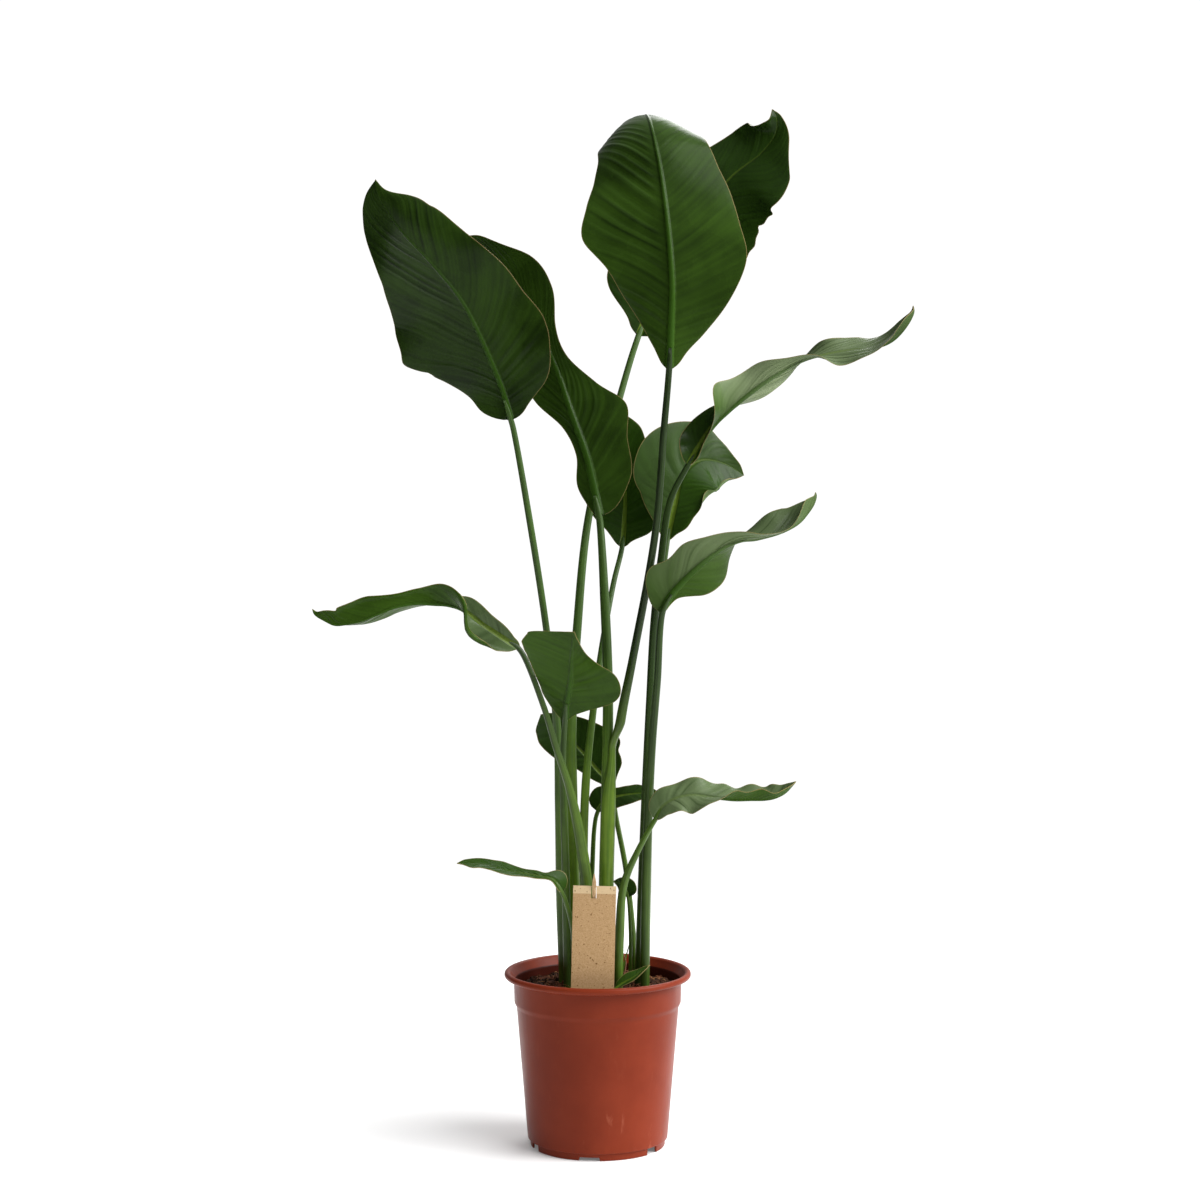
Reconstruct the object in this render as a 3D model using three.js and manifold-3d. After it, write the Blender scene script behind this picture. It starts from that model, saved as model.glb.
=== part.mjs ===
// Potted bird of paradise: plastic nursery pot, soil, sixteen leaves on their own stems, a young
// shoot and a card tag on a stick. Millimetres, +Z up, origin at the centre of the pot's base.
import * as THREE from 'three';
import { mergeVertices } from 'three/addons/utils/BufferGeometryUtils.js';
import Module from 'manifold-3d';

const wasm = await Module();
wasm.setup();

// ---- driving dimensions (mm) ----
const POT_RIM_R = 120;
const POT_HEIGHT = 225;
const POT_FOOT_R = 86.5;
const FLOOR_Z = 12;
const FLOOR_THICK = 2.5;
const PAD_R = 30;
const SOIL_GAP = 0.3;
const STEM_GAP = 0.4;
const SOIL_TOP = 207;
const BURIED_Z = 168;
const BLADE_THICK = 1.0;
const CARD = { width: 53.5, height: 134, thick: 0.8, lean: 6, tilt: 1.25, foot: [-6.5, -84, 212] };
const STICK = { width: 5, thick: 1.6, foot: [-6, -44.5, BURIED_Z], top: [-4.2, -74.8, 361] };

// ---- leaves ----
// stem: x, y, z, radius from the soil up; rib: x, y, z from the blade's base to its tip.
// face: where the upper side looks, at stations along the blade. right, left: half widths at
// WIDTH_AT of the blade's length. fold: degrees each half rises, [station, right, left]; cup: degrees
// more by its margin; roll: degrees more from rollFrom out. wave: height, number, phase at the margin.
const WIDTH_AT = [0.03, 0.1, 0.2, 0.3, 0.4, 0.5, 0.6, 0.7, 0.8, 0.9, 0.96];
const LEAVES = [
  {
    name: 'leaf_01', ribRadius: 3.6, rows: 14, across: [0.3, 0.65, 1],
    stem: [[-41, 5, 206, 9], [-45, 4, 315, 8.5], [-48, 0, 444, 7], [-51, -8, 530, 5.2],
      [-64, -32, 660, 4.4], [-85, -55, 803, 4.2]],
    rib: [[-107, -70, 928], [-117, -75, 964], [-133, -82, 1004], [-152, -92, 1046], [-170, -102, 1078],
      [-204, -118, 1119], [-241, -132, 1159], [-265, -138, 1200], [-268, -138, 1216]],
    face: [[0, 0.45, 0.85, 0.2], [0.5, 0.35, 0.85, 0.35], [1, 0.5, 0.6, 0.5]],
    right: [37, 55, 82, 122, 124, 116, 102, 84, 73, 53, 19],
    left: [22, 57, 79, 83, 73, 70, 64, 53, 48, 24, 4],
    fold: [[0, 10, 10]], wave: [4, 2.5, 0],
  },
  {
    name: 'leaf_02', ribRadius: 4.5, rows: 14, across: [0.3, 0.65, 1],
    stem: [[9, -3, 206, 8], [9, -3, 316, 8], [12, -3, 445, 8], [13, -2, 528, 7], [13, 4, 598, 6.5],
      [9, 14, 700, 6]],
    rib: [[2, 25, 807], [-5, 30, 845], [-14, 34, 883], [-35, 40, 942], [-56, 45, 1002], [-97, 45, 1084],
      [-144, 38, 1140], [-186, 30, 1159]],
    face: [[0, 0.2, 0.95, 0.1], [0.5, 0.1, 0.95, 0.3], [1, 0.3, 0.8, 0.5]],
    right: [12, 22, 13, 18, 42, 50, 48, 40, 35, 22, 12],
    left: [28, 50, 57, 70, 42, 20, 23, 42, 44, 24, 14],
    fold: [[0, 8, 8]], wave: [3, 2.5, 1],
  },
  {
    name: 'leaf_03', ribRadius: 4, wraps: 'leaf_02', rows: 17, across: [0.25, 0.5, 0.75, 1],
    stem: [[24, -12, 206, 6.5], [24, -12, 316, 6.5], [25, -12, 445, 6.5], [27, -13, 530, 6.5],
      [44, -25, 625, 5.2], [63, -45, 728, 4.8], [74, -62, 804, 4.6], [82, -82, 915, 4.3]],
    rib: [[88, -95, 990], [90, -103, 1041], [91, -110, 1088], [88, -114, 1136], [83, -112, 1184],
      [77, -102, 1230], [70, -84, 1270], [64, -50, 1300], [60, -8, 1312], [58, 40, 1308]],
    face: [[0, 0, 1, 0.1], [0.5, 0, 1, 0], [0.75, 0, 0.9, -0.4], [1, 0, 0.3, -1]],
    right: [13, 33, 54, 76, 106, 94, 78, 62, 50, 34, 20],
    left: [18, 38, 70, 92, 87, 77, 66, 56, 48, 34, 20],
    fold: [[0, 8, 8], [0.5, 6, 6], [0.7, 2, 2], [1, 2, 2]],
    cup: [[0, 4, 4], [0.5, 8, 8], [0.65, 32, 32], [0.8, 75, 75], [1, 85, 85]], wave: [4, 2, 0],
  },
  {
    name: 'leaf_04', ribRadius: 4, rows: 14, across: [0.3, 0.65, 1],
    stem: [[-27, 22, 206, 8], [-31, 24, 311, 8.5], [-34, 26, 441, 8.2], [-34, 28, 544, 7],
      [-27, 38, 655, 5.8], [-11, 65, 810, 5], [28, 100, 958, 4.5]],
    rib: [[54, 120, 1043], [75, 126, 1090], [98, 130, 1132], [135, 138, 1193], [175, 142, 1251],
      [216, 142, 1284], [234, 138, 1308], [235, 130, 1328], [229, 127, 1339]],
    face: [[0, 0.2, -0.95, 0.2], [0.5, 0.1, -0.95, 0.3], [1, 0, -0.8, 0.5]],
    right: [22, 44, 66, 80, 83, 76, 76, 74, 64, 22, 8],
    left: [19, 60, 76, 84, 84, 80, 66, 50, 48, 42, 18],
    fold: [[0, 8, 8]], wave: [4, 2, 0],
  },
  {
    name: 'leaf_05', ribRadius: 3.6, rows: 22, across: [0.5, 1],
    stem: [[55, -10, 206, 8], [58, -10, 317, 7.5], [62, -10, 446, 6.5], [67, -12, 574, 5.5],
      [72, -16, 676, 5], [80, -20, 752, 4.6], [92, -24, 828, 4.2]],
    rib: [[114, -25, 872], [128, -26, 896], [146, -28, 922], [179, -31, 952], [223, -30, 984],
      [258, -26, 1003], [290, -20, 1012], [325, -12, 1018], [352, -6, 1020], [374, -2, 1029],
      [392, 0, 1048], [401, 2, 1066], [400, 3, 1074]],
    face: [[0, 0.1, -1, 0], [0.1, -0.6, -0.7, 0.4], [0.15, -0.72, -0.5, 0.48], [0.2, -0.7, -0.25, 0.6],
      [0.26, -0.55, 0.6, 0.55], [0.35, -0.2, 0.95, 0.25], [0.48, -0.15, 0.6, 0.8], [0.56, -0.1, 0, 1],
      [0.63, -0.1, -0.75, 0.65], [0.72, -0.2, -0.6, 0.75], [0.82, -0.3, -0.3, 0.9], [1, -0.5, -0.2, 0.8]],
    right: [7, 12, 50, 30, 25, 14, 25, 28, 30, 20, 10],
    left: [20, 28, 24, 22, 22, 26, 22, 20, 24, 18, 9],
    fold: [[0, 30, 30], [0.25, 30, 32], [0.42, 12, 12], [0.6, 5, 12], [0.68, 14, 18], [0.74, 40, 28],
      [0.82, 55, 32], [1, 55, 35]],
    wave: [1.5, 3, 0],
  },
  {
    name: 'leaf_06', ribRadius: 4, rows: 15, across: [0.3, 0.65, 1],
    stem: [[60, 10, 206, 7], [62, 10, 314, 6.5], [65, 14, 442, 6], [69, 22, 571, 5.5], [77, 40, 673, 4.8]],
    rib: [[90, 60, 775], [95, 62, 799], [102, 67, 827], [109, 74, 856], [117, 83, 882], [128, 96, 905],
      [140, 112, 920], [150, 130, 923], [160, 144, 917], [166, 154, 903], [168, 158, 890]],
    face: [[0, 0, -1, 0.1], [0.4, 0, -0.9, 0.4], [0.6, 0.3, -0.6, 0.75], [0.8, 0.5, -0.2, 0.85],
      [1, 0.6, 0, 0.8]],
    right: [11, 27, 36, 50, 68, 74, 50, 28, 20, 13, 7],
    left: [10, 22, 46, 68, 75, 62, 36, 21, 14, 10, 5],
    fold: [[0, 10, 10]], wave: [3, 2, 0],
  },
  {
    name: 'leaf_07', ribRadius: 3.4, rows: 10, across: [0.55, 1],
    stem: [[-15, 3, 206, 5], [-18, 6, 366, 5.5], [-15, 12, 468, 5.5], [-5, 28, 562, 4.5], [7, 50, 646, 4],
      [21, 80, 720, 3.6]],
    rib: [[32, 100, 765], [35, 108, 800], [36, 116, 840], [29, 122, 886], [19, 124, 919], [7, 120, 952]],
    face: [[0, 0, -1, 0.1], [1, 0, -1, 0.2]],
    right: [9, 33, 40, 40, 38, 38, 38, 38, 35, 20, 8],
    left: [11, 22, 42, 53, 58, 61, 60, 53, 40, 22, 10],
    fold: [[0, 8, 8]], wave: [2, 2, 0],
  },
  {
    name: 'leaf_08', ribRadius: 3.8, rows: 20, across: [0.5, 1],
    stem: [[60, -30, 206, 6], [61, -31, 321, 6], [65, -35, 449, 5.5], [69, -42, 525, 5],
      [75, -54, 602, 4.6]],
    rib: [[81, -68, 688], [89, -70, 707], [103, -73, 724], [119, -76, 740], [135, -77, 754],
      [150, -76, 765], [165, -74, 773], [180, -72, 778], [195, -69, 779], [210, -66, 782],
      [225, -62, 786], [240, -57, 792], [253, -53, 800], [263, -50, 811], [271, -48, 823],
      [274, -47, 833], [273, -47, 838]],
    face: [[0, 0.1, 0.95, 0.2], [0.3, 0, 0.95, 0.3], [0.45, -0.1, 0.7, 0.7], [0.56, -0.1, 0.1, 1],
      [0.68, 0, -0.25, 0.97], [0.85, -0.3, -0.2, 0.95], [1, -0.6, -0.1, 0.8]],
    right: [20, 40, 33, 34, 24, 20, 26, 30, 28, 20, 12],
    left: [5, 10, 31, 38, 36, 28, 28, 33, 31, 20, 10],
    fold: [[0, 10, 5], [0.4, 18, 15], [0.55, 15, 40], [0.68, 45, 46], [0.85, 65, 45], [1, 60, 40]],
    wave: [1, 2, 0],
  },
  {
    name: 'leaf_09', ribRadius: 3.4, rows: 10, across: [0.55, 1],
    stem: [[-38, -22, 206, 5.5], [-40, -23, 319, 5.2], [-43, -28, 448, 4.6], [-44, -34, 500, 4]],
    rib: [[-41, -42, 551], [-38, -55, 578], [-34, -75, 605], [-32, -105, 638], [-28, -130, 668]],
    face: [[0, 0.1, 0.83, 0.45], [1, 0, 0.83, 0.55]],
    right: [10, 20, 31, 37, 43, 48, 53, 58, 63, 62, 46],
    left: [8, 24, 52, 64, 63, 53, 37, 25, 14, 6, 2],
    fold: [[0, 5, 5]], wave: [2, 2, 0],
  },
  {
    name: 'leaf_10', ribRadius: 3.4, rows: 20, across: [0.3, 0.5, 0.68, 0.84, 1],
    stem: [[-11, -30, 206, 8], [-12, -34, 321, 8], [-24, -42, 412, 6.8], [-37, -48, 470, 5],
      [-52, -56, 517, 4.2], [-68, -66, 572, 3.8]],
    rib: [[-98, -74, 644], [-111, -79, 653], [-127, -83, 664], [-143, -87, 675], [-158, -90, 687],
      [-171, -93, 695], [-185, -95, 699], [-200, -97, 700], [-223, -98, 701], [-238, -99, 699],
      [-254, -100, 695], [-273, -100, 687], [-293, -99, 679], [-312, -97, 675], [-325, -95, 674],
      [-337, -93, 679], [-350, -91, 687], [-353, -90, 694]],
    face: [[0, 0.3, -0.9, 0.2], [0.2, 0.3, -0.9, 0.2], [0.27, 0.2, -0.75, 0.6], [0.33, 0, -0.1, 1],
      [0.4, 0, 0.5, 0.85], [1, 0, 0.55, 0.83]],
    right: [7, 14, 18, 20, 22, 22, 22, 22, 18, 12, 6],
    left: [10, 24, 36, 33, 30, 21, 20, 29, 26, 18, 9],
    fold: [[0, 25, 0], [0.2, 40, 0], [0.3, 40, 25], [0.4, 40, 36], [1, 40, 38]],
    roll: [[0, 0, 0], [0.06, 0, 30], [0.15, 0, 190], [0.26, 0, 190], [0.33, 0, 50], [0.38, 0, 0],
      [1, 0, 0]],
    rollFrom: 0.35, wave: [1, 2.5, 0],
  },
  {
    name: 'leaf_11', ribRadius: 3, rows: 9, across: [0.55, 1],
    stem: [[50, 48, 206, 4], [38, 53, 338, 3.6], [24, 61, 413, 3.3]],
    rib: [[17, 67, 453], [10, 70, 464], [-2, 74, 476], [-13, 78, 489], [-26, 82, 503], [-42, 86, 518],
      [-59, 91, 533], [-75, 95, 545]],
    face: [[0, 0, -1, 0.2], [1, 0, -1, 0.4]],
    right: [10, 28, 38, 48, 48, 42, 36, 30, 22, 12, 6],
    left: [6, 11, 15, 19, 24, 29, 33, 34, 33, 26, 15],
    fold: [[0, 8, 8]], wave: [1, 2, 0],
  },
  {
    name: 'leaf_12', ribRadius: 2.8, rows: 8, across: [0.55, 1],
    stem: [[-7, 40, 206, 3.5], [-7, 41, 350, 3.2]],
    rib: [[0, 42, 424], [11, 42, 438], [29, 43, 444], [53, 44, 447], [79, 45, 449]],
    face: [[0, -0.2, -0.8, 0.5], [1, 0, -0.7, 0.7]],
    right: [8, 14, 17, 18, 17, 17, 16, 13, 10, 6, 3],
    left: [12, 20, 23, 17, 12, 12, 13, 14, 11, 7, 3],
    fold: [[0, 8, 8]], wave: [1, 2, 0],
  },
  {
    name: 'leaf_13', ribRadius: 3, rows: 17, across: [0.5, 1],
    stem: [[26, -42, 206, 6], [28, -48, 285, 5.8], [33, -54, 344, 5], [51, -62, 389, 3.8]],
    rib: [[72, -68, 429], [81, -69, 445], [98, -70, 456], [117, -70, 460], [136, -69, 458],
      [154, -69, 455], [172, -68, 453], [192, -67, 453], [210, -66, 453], [222, -65, 455],
      [235, -63, 461], [244, -62, 470], [249, -61, 476]],
    face: [[0, -0.3, -0.75, 0.5], [0.35, -0.1, -0.75, 0.65], [0.48, 0, -0.2, 0.98], [1, 0, -0.2, 0.98]],
    right: [10, 16, 20, 25, 20, 16, 17, 16, 14, 9, 5],
    left: [12, 20, 19, 23, 25, 25, 23, 22, 21, 14, 7],
    fold: [[0, 12, 12], [0.33, 5, 10], [0.45, 38, 36], [1, 42, 40]], wave: [2.4, 5.5, 1.2],
  },
  {
    name: 'leaf_14', ribRadius: 2.6, rows: 9, across: [1],
    stem: [[-25, -48, 206, 4], [-31, -52, 286, 3.4]],
    rib: [[-45, -60, 336], [-55, -64, 352], [-72, -66, 357], [-112, -70, 365], [-147, -74, 374],
      [-176, -78, 375]],
    face: [[0, 0, -0.6, 0.7], [1, 0, -0.5, 0.8]],
    right: [10, 17, 7, 7.5, 7, 9, 11, 9.5, 9, 7, 4],
    left: [4, 6, 4, 7, 8, 11, 11, 9.5, 10, 10, 3],
    fold: [[0, 10, 10]], wave: [0.5, 2, 0],
  },
  {
    name: 'leaf_15', ribRadius: 1.8, rows: 6, across: [1],
    stem: [[42, 18, 206, 2.5], [42, 20, 273, 2.2]],
    rib: [[39, 24, 315], [37, 25, 324], [30, 26, 332], [20, 27, 335]],
    face: [[0, 0.2, -0.9, 0.3], [1, 0.2, -0.8, 0.5]],
    right: [6, 10, 13, 14.5, 15, 14, 12, 9, 6.5, 3.5, 1.5],
    left: [3.5, 6, 8, 9.5, 10, 9.5, 8.5, 7, 5, 2.8, 1.2],
    fold: [[0, 5, 5]], wave: [0.3, 2, 0],
  },
  {
    name: 'leaf_16', ribRadius: 2.2, rows: 6, across: [1],
    stem: [[12, -64, 206, 2.8]],
    rib: [[23, -68, 215], [33, -68, 222], [46, -66, 229], [56, -62, 236], [66, -58, 243]],
    face: [[0, -0.3, -0.5, 0.8], [1, -0.3, -0.4, 0.9]],
    right: [3.5, 6, 8, 9.5, 10, 9.5, 8.5, 7, 5, 3, 1.2],
    left: [4, 7, 9, 10.5, 11, 10.5, 9, 7, 5, 3, 1.2],
    fold: [[0, 20, 20]], wave: [0.3, 2, 0],
  },
];
const SPIKE = { path: [[26, -20, BURIED_Z], [26, -20, 206], [32, -22, 230], [40, -24, 262]], radius: 2 };
// leaf_03's sheath round leaf_02: wall, direction of its middle, half extent low and at its arch
const SHEATH = { gap: 0.6, wall: 2.6, dir: -35, low: 110, arch: 48, archFrom: 440, archTo: 508, opens: 548 };

// ---- small vector help ----
const V = (x, y, z) => new THREE.Vector3(x, y, z);
const rad = THREE.MathUtils.degToRad;
const { clamp, lerp, smoothstep } = THREE.MathUtils;

function hermite(x, xs, ys) {
  if (xs.length === 1) return ys[0];
  x = clamp(x, xs[0], xs[xs.length - 1]);
  let i = 0;
  while (i < xs.length - 2 && x >= xs[i + 1]) i++;
  const slope = (k) => {
    if (k === 0 || k === xs.length - 1) return 0;
    const a = xs[k] - xs[k - 1], b = xs[k + 1] - xs[k];
    return (a * (ys[k + 1] - ys[k]) / b + b * (ys[k] - ys[k - 1]) / a) / (a + b);
  };
  const h = xs[i + 1] - xs[i], s = (x - xs[i]) / h;
  return (2 * s ** 3 - 3 * s * s + 1) * ys[i] + (s ** 3 - 2 * s * s + s) * h * slope(i)
    + (3 * s * s - 2 * s ** 3) * ys[i + 1] + (s ** 3 - s * s) * h * slope(i + 1);
}

function linear(x, xs, ys) {
  if (x <= xs[0]) return ys[0];
  for (let i = 1; i < xs.length; i++) {
    if (x <= xs[i]) return lerp(ys[i - 1], ys[i], (x - xs[i - 1]) / (xs[i] - xs[i - 1]));
  }
  return ys[ys.length - 1];
}

// ---- a leaf's line: one smooth curve from below the soil to the tip ----
const STEPS = 24;
class Line {
  constructor(points, base) {
    const curve = new THREE.CatmullRomCurve3(points.map((p) => V(...p.slice(0, 3))), false, 'centripetal');
    this.pts = curve.getPoints(STEPS * (points.length - 1));
    this.len = [0];
    this.pts.forEach((p, i) => { if (i) this.len.push(this.len[i - 1] + p.distanceTo(this.pts[i - 1])); });
    this.knots = points.map((p, i) => this.len[i * STEPS]);
    this.base = this.knots[base];
    this.end = this.len[this.len.length - 1];
  }
  at(l) {
    return V(...['x', 'y', 'z'].map((k) => linear(l, this.len, this.pts.map((p) => p[k]))));
  }
  tangent(l) {
    return this.at(Math.min(l + 2, this.end)).sub(this.at(Math.max(l - 2, 0))).normalize();
  }
}

const buried = (p) => [p[0], p[1], BURIED_Z, p[3]];
function lineOf(leaf) {
  return new Line([buried(leaf.stem[0]), ...leaf.stem, ...leaf.rib], leaf.stem.length + 1);
}

function frame(leaf, line, l) {
  const t = clamp((l - line.base) / (line.end - line.base), 0, 1);
  const T = line.tangent(l);
  const at = leaf.face.map((f) => f[0]);
  const unit = leaf.face.map((f) => V(f[1], f[2], f[3]).normalize());
  const N = V(...['x', 'y', 'z'].map((k) => hermite(t, at, unit.map((u) => u[k]))));
  N.addScaledVector(T, -N.dot(T)).normalize();
  return { P: line.at(l), T, N, B: T.clone().cross(N) };
}

function halfWidth(t, widths) {
  const g = widths.map((w, i) => w / (Math.sqrt(WIDTH_AT[i]) * (1 - WIDTH_AT[i])));
  return Math.sqrt(t) * (1 - t) * hermite(t, WIDTH_AT, g);
}

// point on the middle surface: t along the rib, q across from -1 (left) to 1 (right), where the
// half's rise is summed up in short steps from the rib out; even the tip is a little wide
const FLAT = [[0, 0, 0]];
const BENDS = 24, TIP = 2.4;
function onBlade(leaf, line, t, q) {
  const { P, N, B } = frame(leaf, line, line.base + t * (line.end - line.base));
  const w = Math.max(halfWidth(t, q >= 0 ? leaf.right : leaf.left), TIP) * Math.abs(q) / BENDS;
  const [fold, cup, roll] = [leaf.fold, leaf.cup ?? FLAT, leaf.roll ?? FLAT].map((table) => (
    hermite(t, table.map((row) => row[0]), table.map((row) => row[q >= 0 ? 1 : 2]))));
  for (let k = 0; k < BENDS; k++) {
    const out = (k + 0.5) / BENDS * Math.abs(q);
    const rise = rad(fold + cup * out + roll * smoothstep(out, leaf.rollFrom ?? 0.8, 1) ** 2);
    P.addScaledVector(B, Math.sign(q) * w * Math.cos(rise)).addScaledVector(N, w * Math.sin(rise));
  }
  const [amp, n, phase] = leaf.wave;
  return P.addScaledVector(N, amp * q * q * Math.sin(2 * Math.PI * n * t + phase + (q >= 0 ? 0 : 2))
    * Math.min(1, 6 * t * (1 - t)));
}

// ---- solids ----
function solid(points, faces) {
  const mesh = new wasm.Mesh({
    numProp: 3,
    vertProperties: new Float32Array(points.flatMap((p) => [p.x, p.y, p.z])),
    triVerts: new Uint32Array(faces.flat()),
  });
  return new wasm.Manifold(mesh);
}

function fromGeometry(geometry) {
  geometry.deleteAttribute('normal');
  geometry.deleteAttribute('uv');
  const g = mergeVertices(geometry, 1e-4);
  const p = g.attributes.position, index = g.index.array, points = [], faces = [];
  for (let i = 0; i < p.count; i++) points.push(V(p.getX(i), p.getY(i), p.getZ(i)));
  for (let i = 0; i < index.length; i += 3) {
    const [a, b, c] = [index[i], index[i + 1], index[i + 2]];
    if (a !== b && b !== c && c !== a) faces.push([a, b, c]);
  }
  return solid(points, faces);
}

// closed skin over a row of rings with the same even number of points each, ends closed by strips
function skin(rings) {
  const n = rings[0].length, points = rings.flat(), faces = [];
  for (let i = 0; i < rings.length - 1; i++) {
    for (let j = 0; j < n; j++) {
      const a = i * n + j, b = i * n + (j + 1) % n;
      faces.push([a, b, b + n], [a, b + n, a + n]);
    }
  }
  const last = (rings.length - 1) * n;
  for (let j = 0; j < n / 2 - 1; j++) {
    const [a, b, c, d] = [j, j + 1, n - 2 - j, n - 1 - j];
    faces.push([a, c, b], [a, d, c], [last + a, last + b, last + c], [last + a, last + c, last + d]);
  }
  return solid(points, faces);
}

const circle = (centre, B, N, r, sides) => Array.from({ length: sides }, (_, j) => {
  const a = 2 * Math.PI * j / sides;
  return centre.clone().addScaledVector(N, r * Math.cos(a)).addScaledVector(B, r * Math.sin(a));
});

function stemRadius(leaf, line, l) {
  const radii = [leaf.stem[0][3], ...leaf.stem.map((p) => p[3]), leaf.ribRadius];
  if (l <= line.base) return linear(l, line.knots.slice(0, radii.length), radii);
  return 0.7 + (leaf.ribRadius - 0.7) * (1 - (l - line.base) / (line.end - line.base)) ** 0.8;
}

// the stem runs on under the blade as its raised rib, a little proud of the underside
function stemRing(leaf, line, l, grow, sides) {
  const { P, N, B } = frame(leaf, line, l);
  const r = stemRadius(leaf, line, l);
  const drop = 0.55 * r * smoothstep(l, line.base - 12, line.base + 8);
  return circle(P.addScaledVector(N, -drop), B, N, r + grow, sides);
}

const spaced = (from, to, count) => Array.from({ length: count }, (_, i) => lerp(from, to, i / (count - 1)));
const stemStations = (line) => spaced(0, line.base, Math.max(4, Math.round(line.base / 110)));
const neck = (line) => [4, 10].map((l) => line.base + l);

function stemSolid(leaf, line) {
  return skin([...stemStations(line), ...neck(line)].map((l) => stemRing(leaf, line, l, 0, 6)));
}

// C-shaped sheath ring round another leaf's stem, closing to a plain round stem where it leaves it
const HALF = 7;
function sheathRing(leaf, line, z, inner, grow) {
  const l = linear(z, line.pts.map((p) => p.z), line.len);
  const at = ['x', 'y', 'r'].map((k) => linear(z, inner.map((c) => c.z), inner.map((c) => c[k])));
  const reach = lerp(SHEATH.low, SHEATH.arch, smoothstep(z, SHEATH.archFrom, SHEATH.archTo));
  const rIn = (at[2] + SHEATH.gap) / Math.cos(rad(reach / (HALF - 1))) - grow;
  const open = smoothstep(z, SHEATH.archTo, SHEATH.opens), P = line.at(l);
  const round = stemRadius(leaf, line, l) + grow;
  return Array.from({ length: 2 * HALF }, (_, j) => {
    const out = j < HALF, s = out ? j / (HALF - 1) : (2 * HALF - 1 - j) / (HALF - 1);
    const a = rad(SHEATH.dir + (2 * s - 1) * reach), r = out ? rIn + SHEATH.wall + 2 * grow : rIn;
    const b = rad(SHEATH.dir + (out ? -78 + 156 * s : 258 - 156 * s));
    return V(at[0] + r * Math.cos(a), at[1] + r * Math.sin(a), z)
      .lerp(V(P.x + round * Math.cos(b), P.y + round * Math.sin(b), z), open);
  });
}

const chainOf = (leaf, line) => stemStations(line).map((l) => {
  const p = line.at(l);
  return { x: p.x, y: p.y, z: p.z, r: stemRadius(leaf, line, l) };
});

function sheathedStem(leaf, line, inner) {
  const heights = [...inner.map((c) => c.z).filter((z) => z < SHEATH.archFrom - 20), SHEATH.archFrom - 10,
    ...spaced(SHEATH.archFrom + 8, SHEATH.opens, 7)];
  const high = spaced(linear(SHEATH.opens - 1.5, line.pts.map((p) => p.z), line.len), line.base, 6);
  return skin(heights.map((z) => sheathRing(leaf, line, z, inner, 0)))
    .add(skin([...high, ...neck(line)].map((l) => stemRing(leaf, line, l, -0.05, 8))));
}

const stationsOf = (rows) => [0.0008, 0.015, ...spaced(0, 1, rows).slice(1)
  .map((u) => 0.998 * (0.6 * u + 0.4 * smoothstep(u, 0, 1)))];
// a blade of even thickness with the rib as a keel along its underside
function bladeSolid(leaf, line) {
  const ts = stationsOf(leaf.rows), across = ['rib', ...leaf.across];
  const mid = ts.map((t) => {
    const r = stemRadius(leaf, line, line.base + t * (line.end - line.base));
    const [left, right] = [leaf.left, leaf.right].map((w) => {
      const rib = Math.min(0.22, r / halfWidth(t, w));
      return across.map((q) => (q === 'rib' ? rib : q));
    });
    return [...left.map((q) => -q).reverse(), 0, ...right].map((q) => onBlade(leaf, line, t, q));
  });
  const cols = mid[0], centre = across.length;
  const normal = (i, j) => {
    const up = mid[Math.min(i + 1, ts.length - 1)][j].clone().sub(mid[Math.max(i - 1, 0)][j]);
    const side = mid[i][Math.min(j + 1, cols.length - 1)].clone().sub(mid[i][Math.max(j - 1, 0)]);
    return up.cross(side).normalize();
  };
  const rings = ts.map((t, i) => {
    const keel = 1.4 * stemRadius(leaf, line, line.base + t * (line.end - line.base)) - 0.6;
    const shift = (j, s) => mid[i][j].clone().addScaledVector(normal(i, j), s);
    return {
      top: cols.map((_, j) => shift(j, -BLADE_THICK / 2)),
      under: cols.map((_, j) => shift(j, BLADE_THICK / 2 + (j === centre ? keel : 0))),
    };
  });
  const n = cols.length, points = rings.flatMap((r) => [...r.top, ...r.under]), faces = [];
  const at = (i, j, under) => i * 2 * n + (under ? n : 0) + j;
  const quad = (a, b, c, d) => faces.push([a, b, c], [a, c, d]);
  for (let i = 0; i < ts.length - 1; i++) {
    for (let j = 0; j < n - 1; j++) {
      const [a, b, c, d] = [at(i, j), at(i, j + 1), at(i + 1, j + 1), at(i + 1, j)];
      const flip = j < centre;
      if (flip) faces.push([a, b, c], [a, c, d], [a + n, c + n, b + n], [a + n, d + n, c + n]);
      else faces.push([a, b, d], [b, c, d], [a + n, d + n, b + n], [b + n, d + n, c + n]);
    }
    quad(at(i, 0), at(i + 1, 0), at(i + 1, 0, true), at(i, 0, true));
    quad(at(i, n - 1), at(i, n - 1, true), at(i + 1, n - 1, true), at(i + 1, n - 1));
  }
  const end = ts.length - 1;
  for (let j = 0; j < n - 1; j++) {
    quad(at(0, j), at(0, j, true), at(0, j + 1, true), at(0, j + 1));
    quad(at(end, j), at(end, j + 1), at(end, j + 1, true), at(end, j, true));
  }
  return solid(points, faces);
}

// revolved about Z from a closed outline of radius, height pairs
function revolve(outline, segments) {
  const g = new THREE.LatheGeometry(outline.map(([r, z]) => new THREE.Vector2(r, z)), segments);
  g.rotateX(Math.PI / 2);
  return fromGeometry(g);
}

function box(sx, sy, sz, x, y, z, turn) {
  const g = new THREE.BoxGeometry(sx, sy, sz);
  g.translate(x, y, z);
  g.rotateZ(turn);
  return fromGeometry(g);
}

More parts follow.
